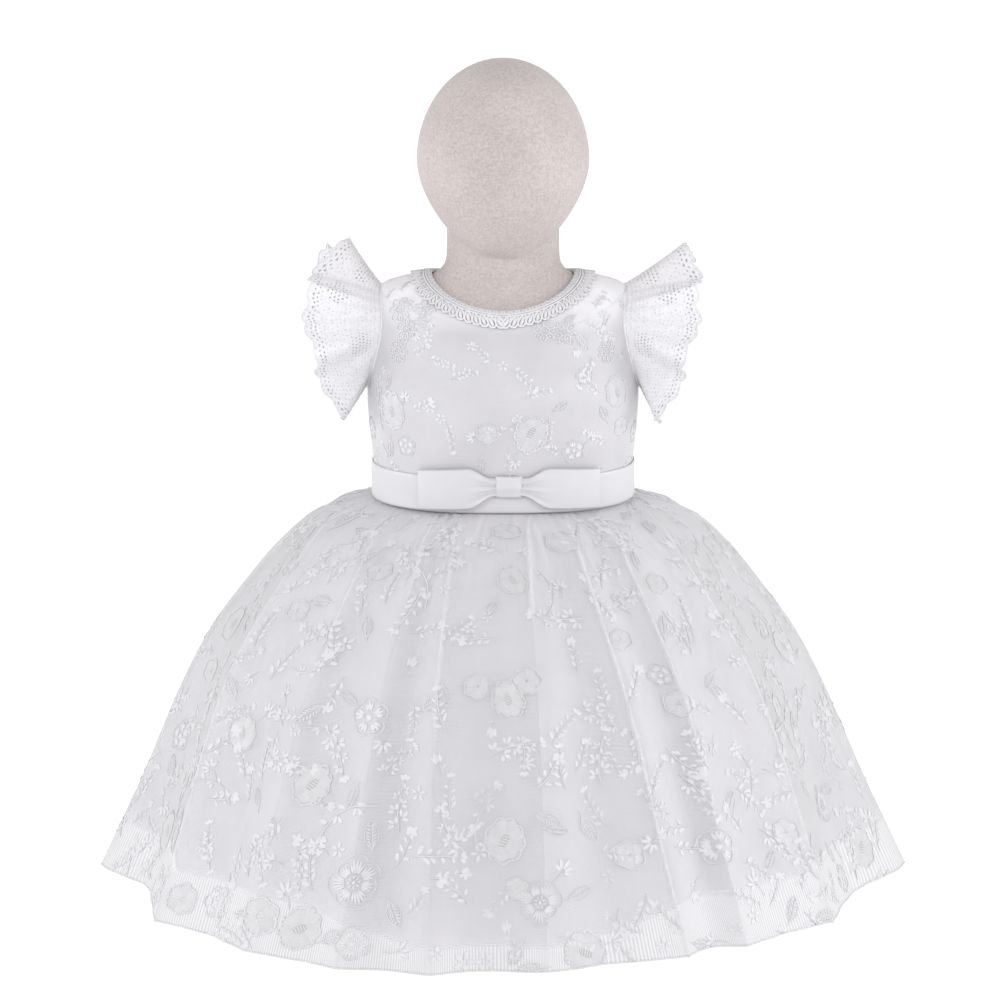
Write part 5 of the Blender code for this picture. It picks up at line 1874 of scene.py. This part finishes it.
class GOWN_OT_dress_form(bpy.types.Operator):
    """Make the linen-covered form: torso and neck in one, with the head joined on"""

    bl_idname = "gown.dress_form"
    bl_label = "Dress form"

    def execute(self, context):
        looks = settings()[1]
        rings = form_rings()
        shape = new_shape()
        bmesh.ops.create_grid(shape, x_segments=FORM_COLUMNS, y_segments=len(rings) - 1, size=0.5)
        for vert in shape.verts:
            ring = round((vert.co.y + 0.5) * (len(rings) - 1))
            vert.co = rings[ring][round((vert.co.x + 0.5) * FORM_COLUMNS)]
        bmesh.ops.remove_doubles(shape, verts=shape.verts, dist=1e-6)
        bmesh.ops.holes_fill(shape, edges=[edge for edge in shape.edges if edge.is_boundary])
        bmesh.ops.recalc_face_normals(shape, faces=shape.faces)
        torso = to_object("form_torso", shape, 50)

        egg = new_shape()
        bmesh.ops.create_uvsphere(egg, u_segments=80, v_segments=56, radius=1.0)
        for vert in egg.verts:
            low = max(0.0, -vert.co.z)
            narrower = (1 - HEAD_NARROWING * low**1.5, 1 - 0.12 * low, 1.0)
            chin = (0.0, CHIN_FORWARD * low, 0.0)
            vert.co = HEAD_MIDDLE + np.array(vert.co) * HEAD_HALF_SIZE * narrower - chin
        head = to_object("form_head", egg, 50)
        join = torso.modifiers.new("join", "BOOLEAN")
        join.operation = "UNION"
        join.object = head
        joined = bpy.data.meshes.new_from_object(torso.evaluated_get(context.evaluated_depsgraph_get()))
        for old in (torso, head):
            bpy.data.objects.remove(old)
        joined.shade_smooth()
        form = bpy.data.objects.new("linen_form", joined)
        context.scene.collection.objects.link(form)
        joined.materials.clear()
        declare(form, kept_finish(linen_finish, looks), "linen_form", "dress_form")
        return {"FINISHED"}


class GOWN_OT_stand_finish(bpy.types.Operator):
    """Paint the stand's pole and base"""

    bl_idname = "gown.stand_finish"
    bl_label = "Stand finish"

    def execute(self, context):
        finish = kept_finish(stand_finish, settings()[1])
        for name in ("stand_pole", "stand_base"):
            for holder in bpy.data.objects[name].material_slots:
                holder.material = finish
        return {"FINISHED"}


# ---- Stage ----

CAMERA_PLACE = (-0.0022, -3.3, 0.965)
CAMERA_PITCH = math.radians(90 - 11.7)
CAMERA_LENS = 166.2
SENSOR = 36.0
FLOOR_SIZE = 14.0
GOWN_MIDDLE = (0.0, 0.0, 0.3)
# name, place, size, power
LIGHTS = (
    ("key_light", (-1.6, -2.2, 2.0), 0.8, 22.0),
    ("fill_light", (1.7, -2.2, 1.7), 1.4, 15.0),
    ("right_side_light", (-3.0, -0.4, 0.9), 1.6, 24.0),
    ("left_side_light", (3.0, -0.4, 0.9), 1.6, 32.0),
)


def add_soft_light(name, place, aim, size, power):
    light = bpy.data.lights.new(name, "AREA")
    light.shape = "DISK"
    light.size = size
    light.energy = power
    holder = bpy.data.objects.new(name, light)
    bpy.context.scene.collection.objects.link(holder)
    holder.location = place
    holder.rotation_euler = (Vector(aim) - Vector(place)).to_track_quat("-Z", "Y").to_euler()


class GOWN_OT_stage(bpy.types.Operator):
    """Set up the pale floor, the soft light and the camera"""

    bl_idname = "gown.stage"
    bl_label = "Stage"

    def execute(self, context):
        scene = context.scene
        shape = new_shape()
        bmesh.ops.create_grid(shape, x_segments=1, y_segments=1, size=FLOOR_SIZE / 2)
        floor = to_object("floor", shape)
        finish, _, shader = new_finish("floor_paper", (0.12, 0.12, 0.12), 0.95, Specular_IOR_Level=0.1)
        shader.inputs["Emission Color"].default_value = (1.0, 1.0, 1.0, 1.0)
        shader.inputs["Emission Strength"].default_value = 1.0
        floor.data.materials.append(finish)

        world = bpy.data.worlds.new("studio")
        world.use_nodes = True
        back = world.node_tree.nodes["Background"]
        back.inputs["Color"].default_value = (1.0, 1.0, 1.0, 1.0)
        back.inputs["Strength"].default_value = 0.60
        scene.world = world
        scene.view_settings.view_transform = "Standard"
        scene.view_settings.look = "None"

        for name, place, size, power in LIGHTS:
            add_soft_light(name, place, GOWN_MIDDLE, size, power)

        camera = bpy.data.cameras.new("camera")
        camera.sensor_width = SENSOR
        camera.lens = CAMERA_LENS
        camera.clip_end = 50.0
        holder = bpy.data.objects.new("camera", camera)
        holder.location = CAMERA_PLACE
        holder.rotation_euler = (CAMERA_PITCH, 0.0, 0.0)
        scene.collection.objects.link(holder)
        scene.camera = holder
        return {"FINISHED"}


# ---- Add-on ----

OPERATORS = (
    GOWN_OT_stage,
    GOWN_OT_stand_finish,
    GOWN_OT_dress_form,
    GOWN_OT_skirt_lining,
    GOWN_OT_skirt_net,
    GOWN_OT_skirt_embroidery,
    GOWN_OT_bodice,
    GOWN_OT_bodice_embroidery,
    GOWN_OT_sleeves,
    GOWN_OT_neck_braid,
    GOWN_OT_sash,
    GOWN_OT_bow,
    GOWN_OT_back_closing,
)


class GOWN_PT_panel(bpy.types.Panel):
    """Lists the gown's settings and pieces in the 3D view's sidebar"""

    bl_idname = "GOWN_PT_panel"
    bl_label = "Christening gown"
    bl_space_type = "VIEW_3D"
    bl_region_type = "UI"
    bl_category = "Gown"

    def draw(self, context):
        layout = self.layout
        for group in (context.scene.gown_sizes, context.scene.gown_looks):
            column = layout.column()
            for name in group.bl_rna.properties.keys():
                if name not in ("rna_type", "name"):
                    column.prop(group, name)
        column = layout.column()
        for operator in OPERATORS:
            column.operator(operator.bl_idname)


CLASSES = (GownSizes, GownLooks, *OPERATORS, GOWN_PT_panel)


def register():
    for kind in CLASSES:
        bpy.utils.register_class(kind)
    bpy.types.Scene.gown_sizes = bpy.props.PointerProperty(type=GownSizes)
    bpy.types.Scene.gown_looks = bpy.props.PointerProperty(type=GownLooks)


def unregister():
    del bpy.types.Scene.gown_looks
    del bpy.types.Scene.gown_sizes
    for kind in reversed(CLASSES):
        bpy.utils.unregister_class(kind)


def main():
    register()
    bpy.ops.gown.stage()
    bpy.ops.gown.stand_finish()
    bpy.ops.gown.dress_form()
    bpy.ops.gown.skirt_lining()
    bpy.ops.gown.skirt_net()
    bpy.ops.gown.skirt_embroidery()
    bpy.ops.gown.bodice()
    bpy.ops.gown.bodice_embroidery()
    bpy.ops.gown.sleeves()
    bpy.ops.gown.neck_braid()
    bpy.ops.gown.sash()
    bpy.ops.gown.bow()
    bpy.ops.gown.back_closing()


if __name__ == "__main__":
    main()
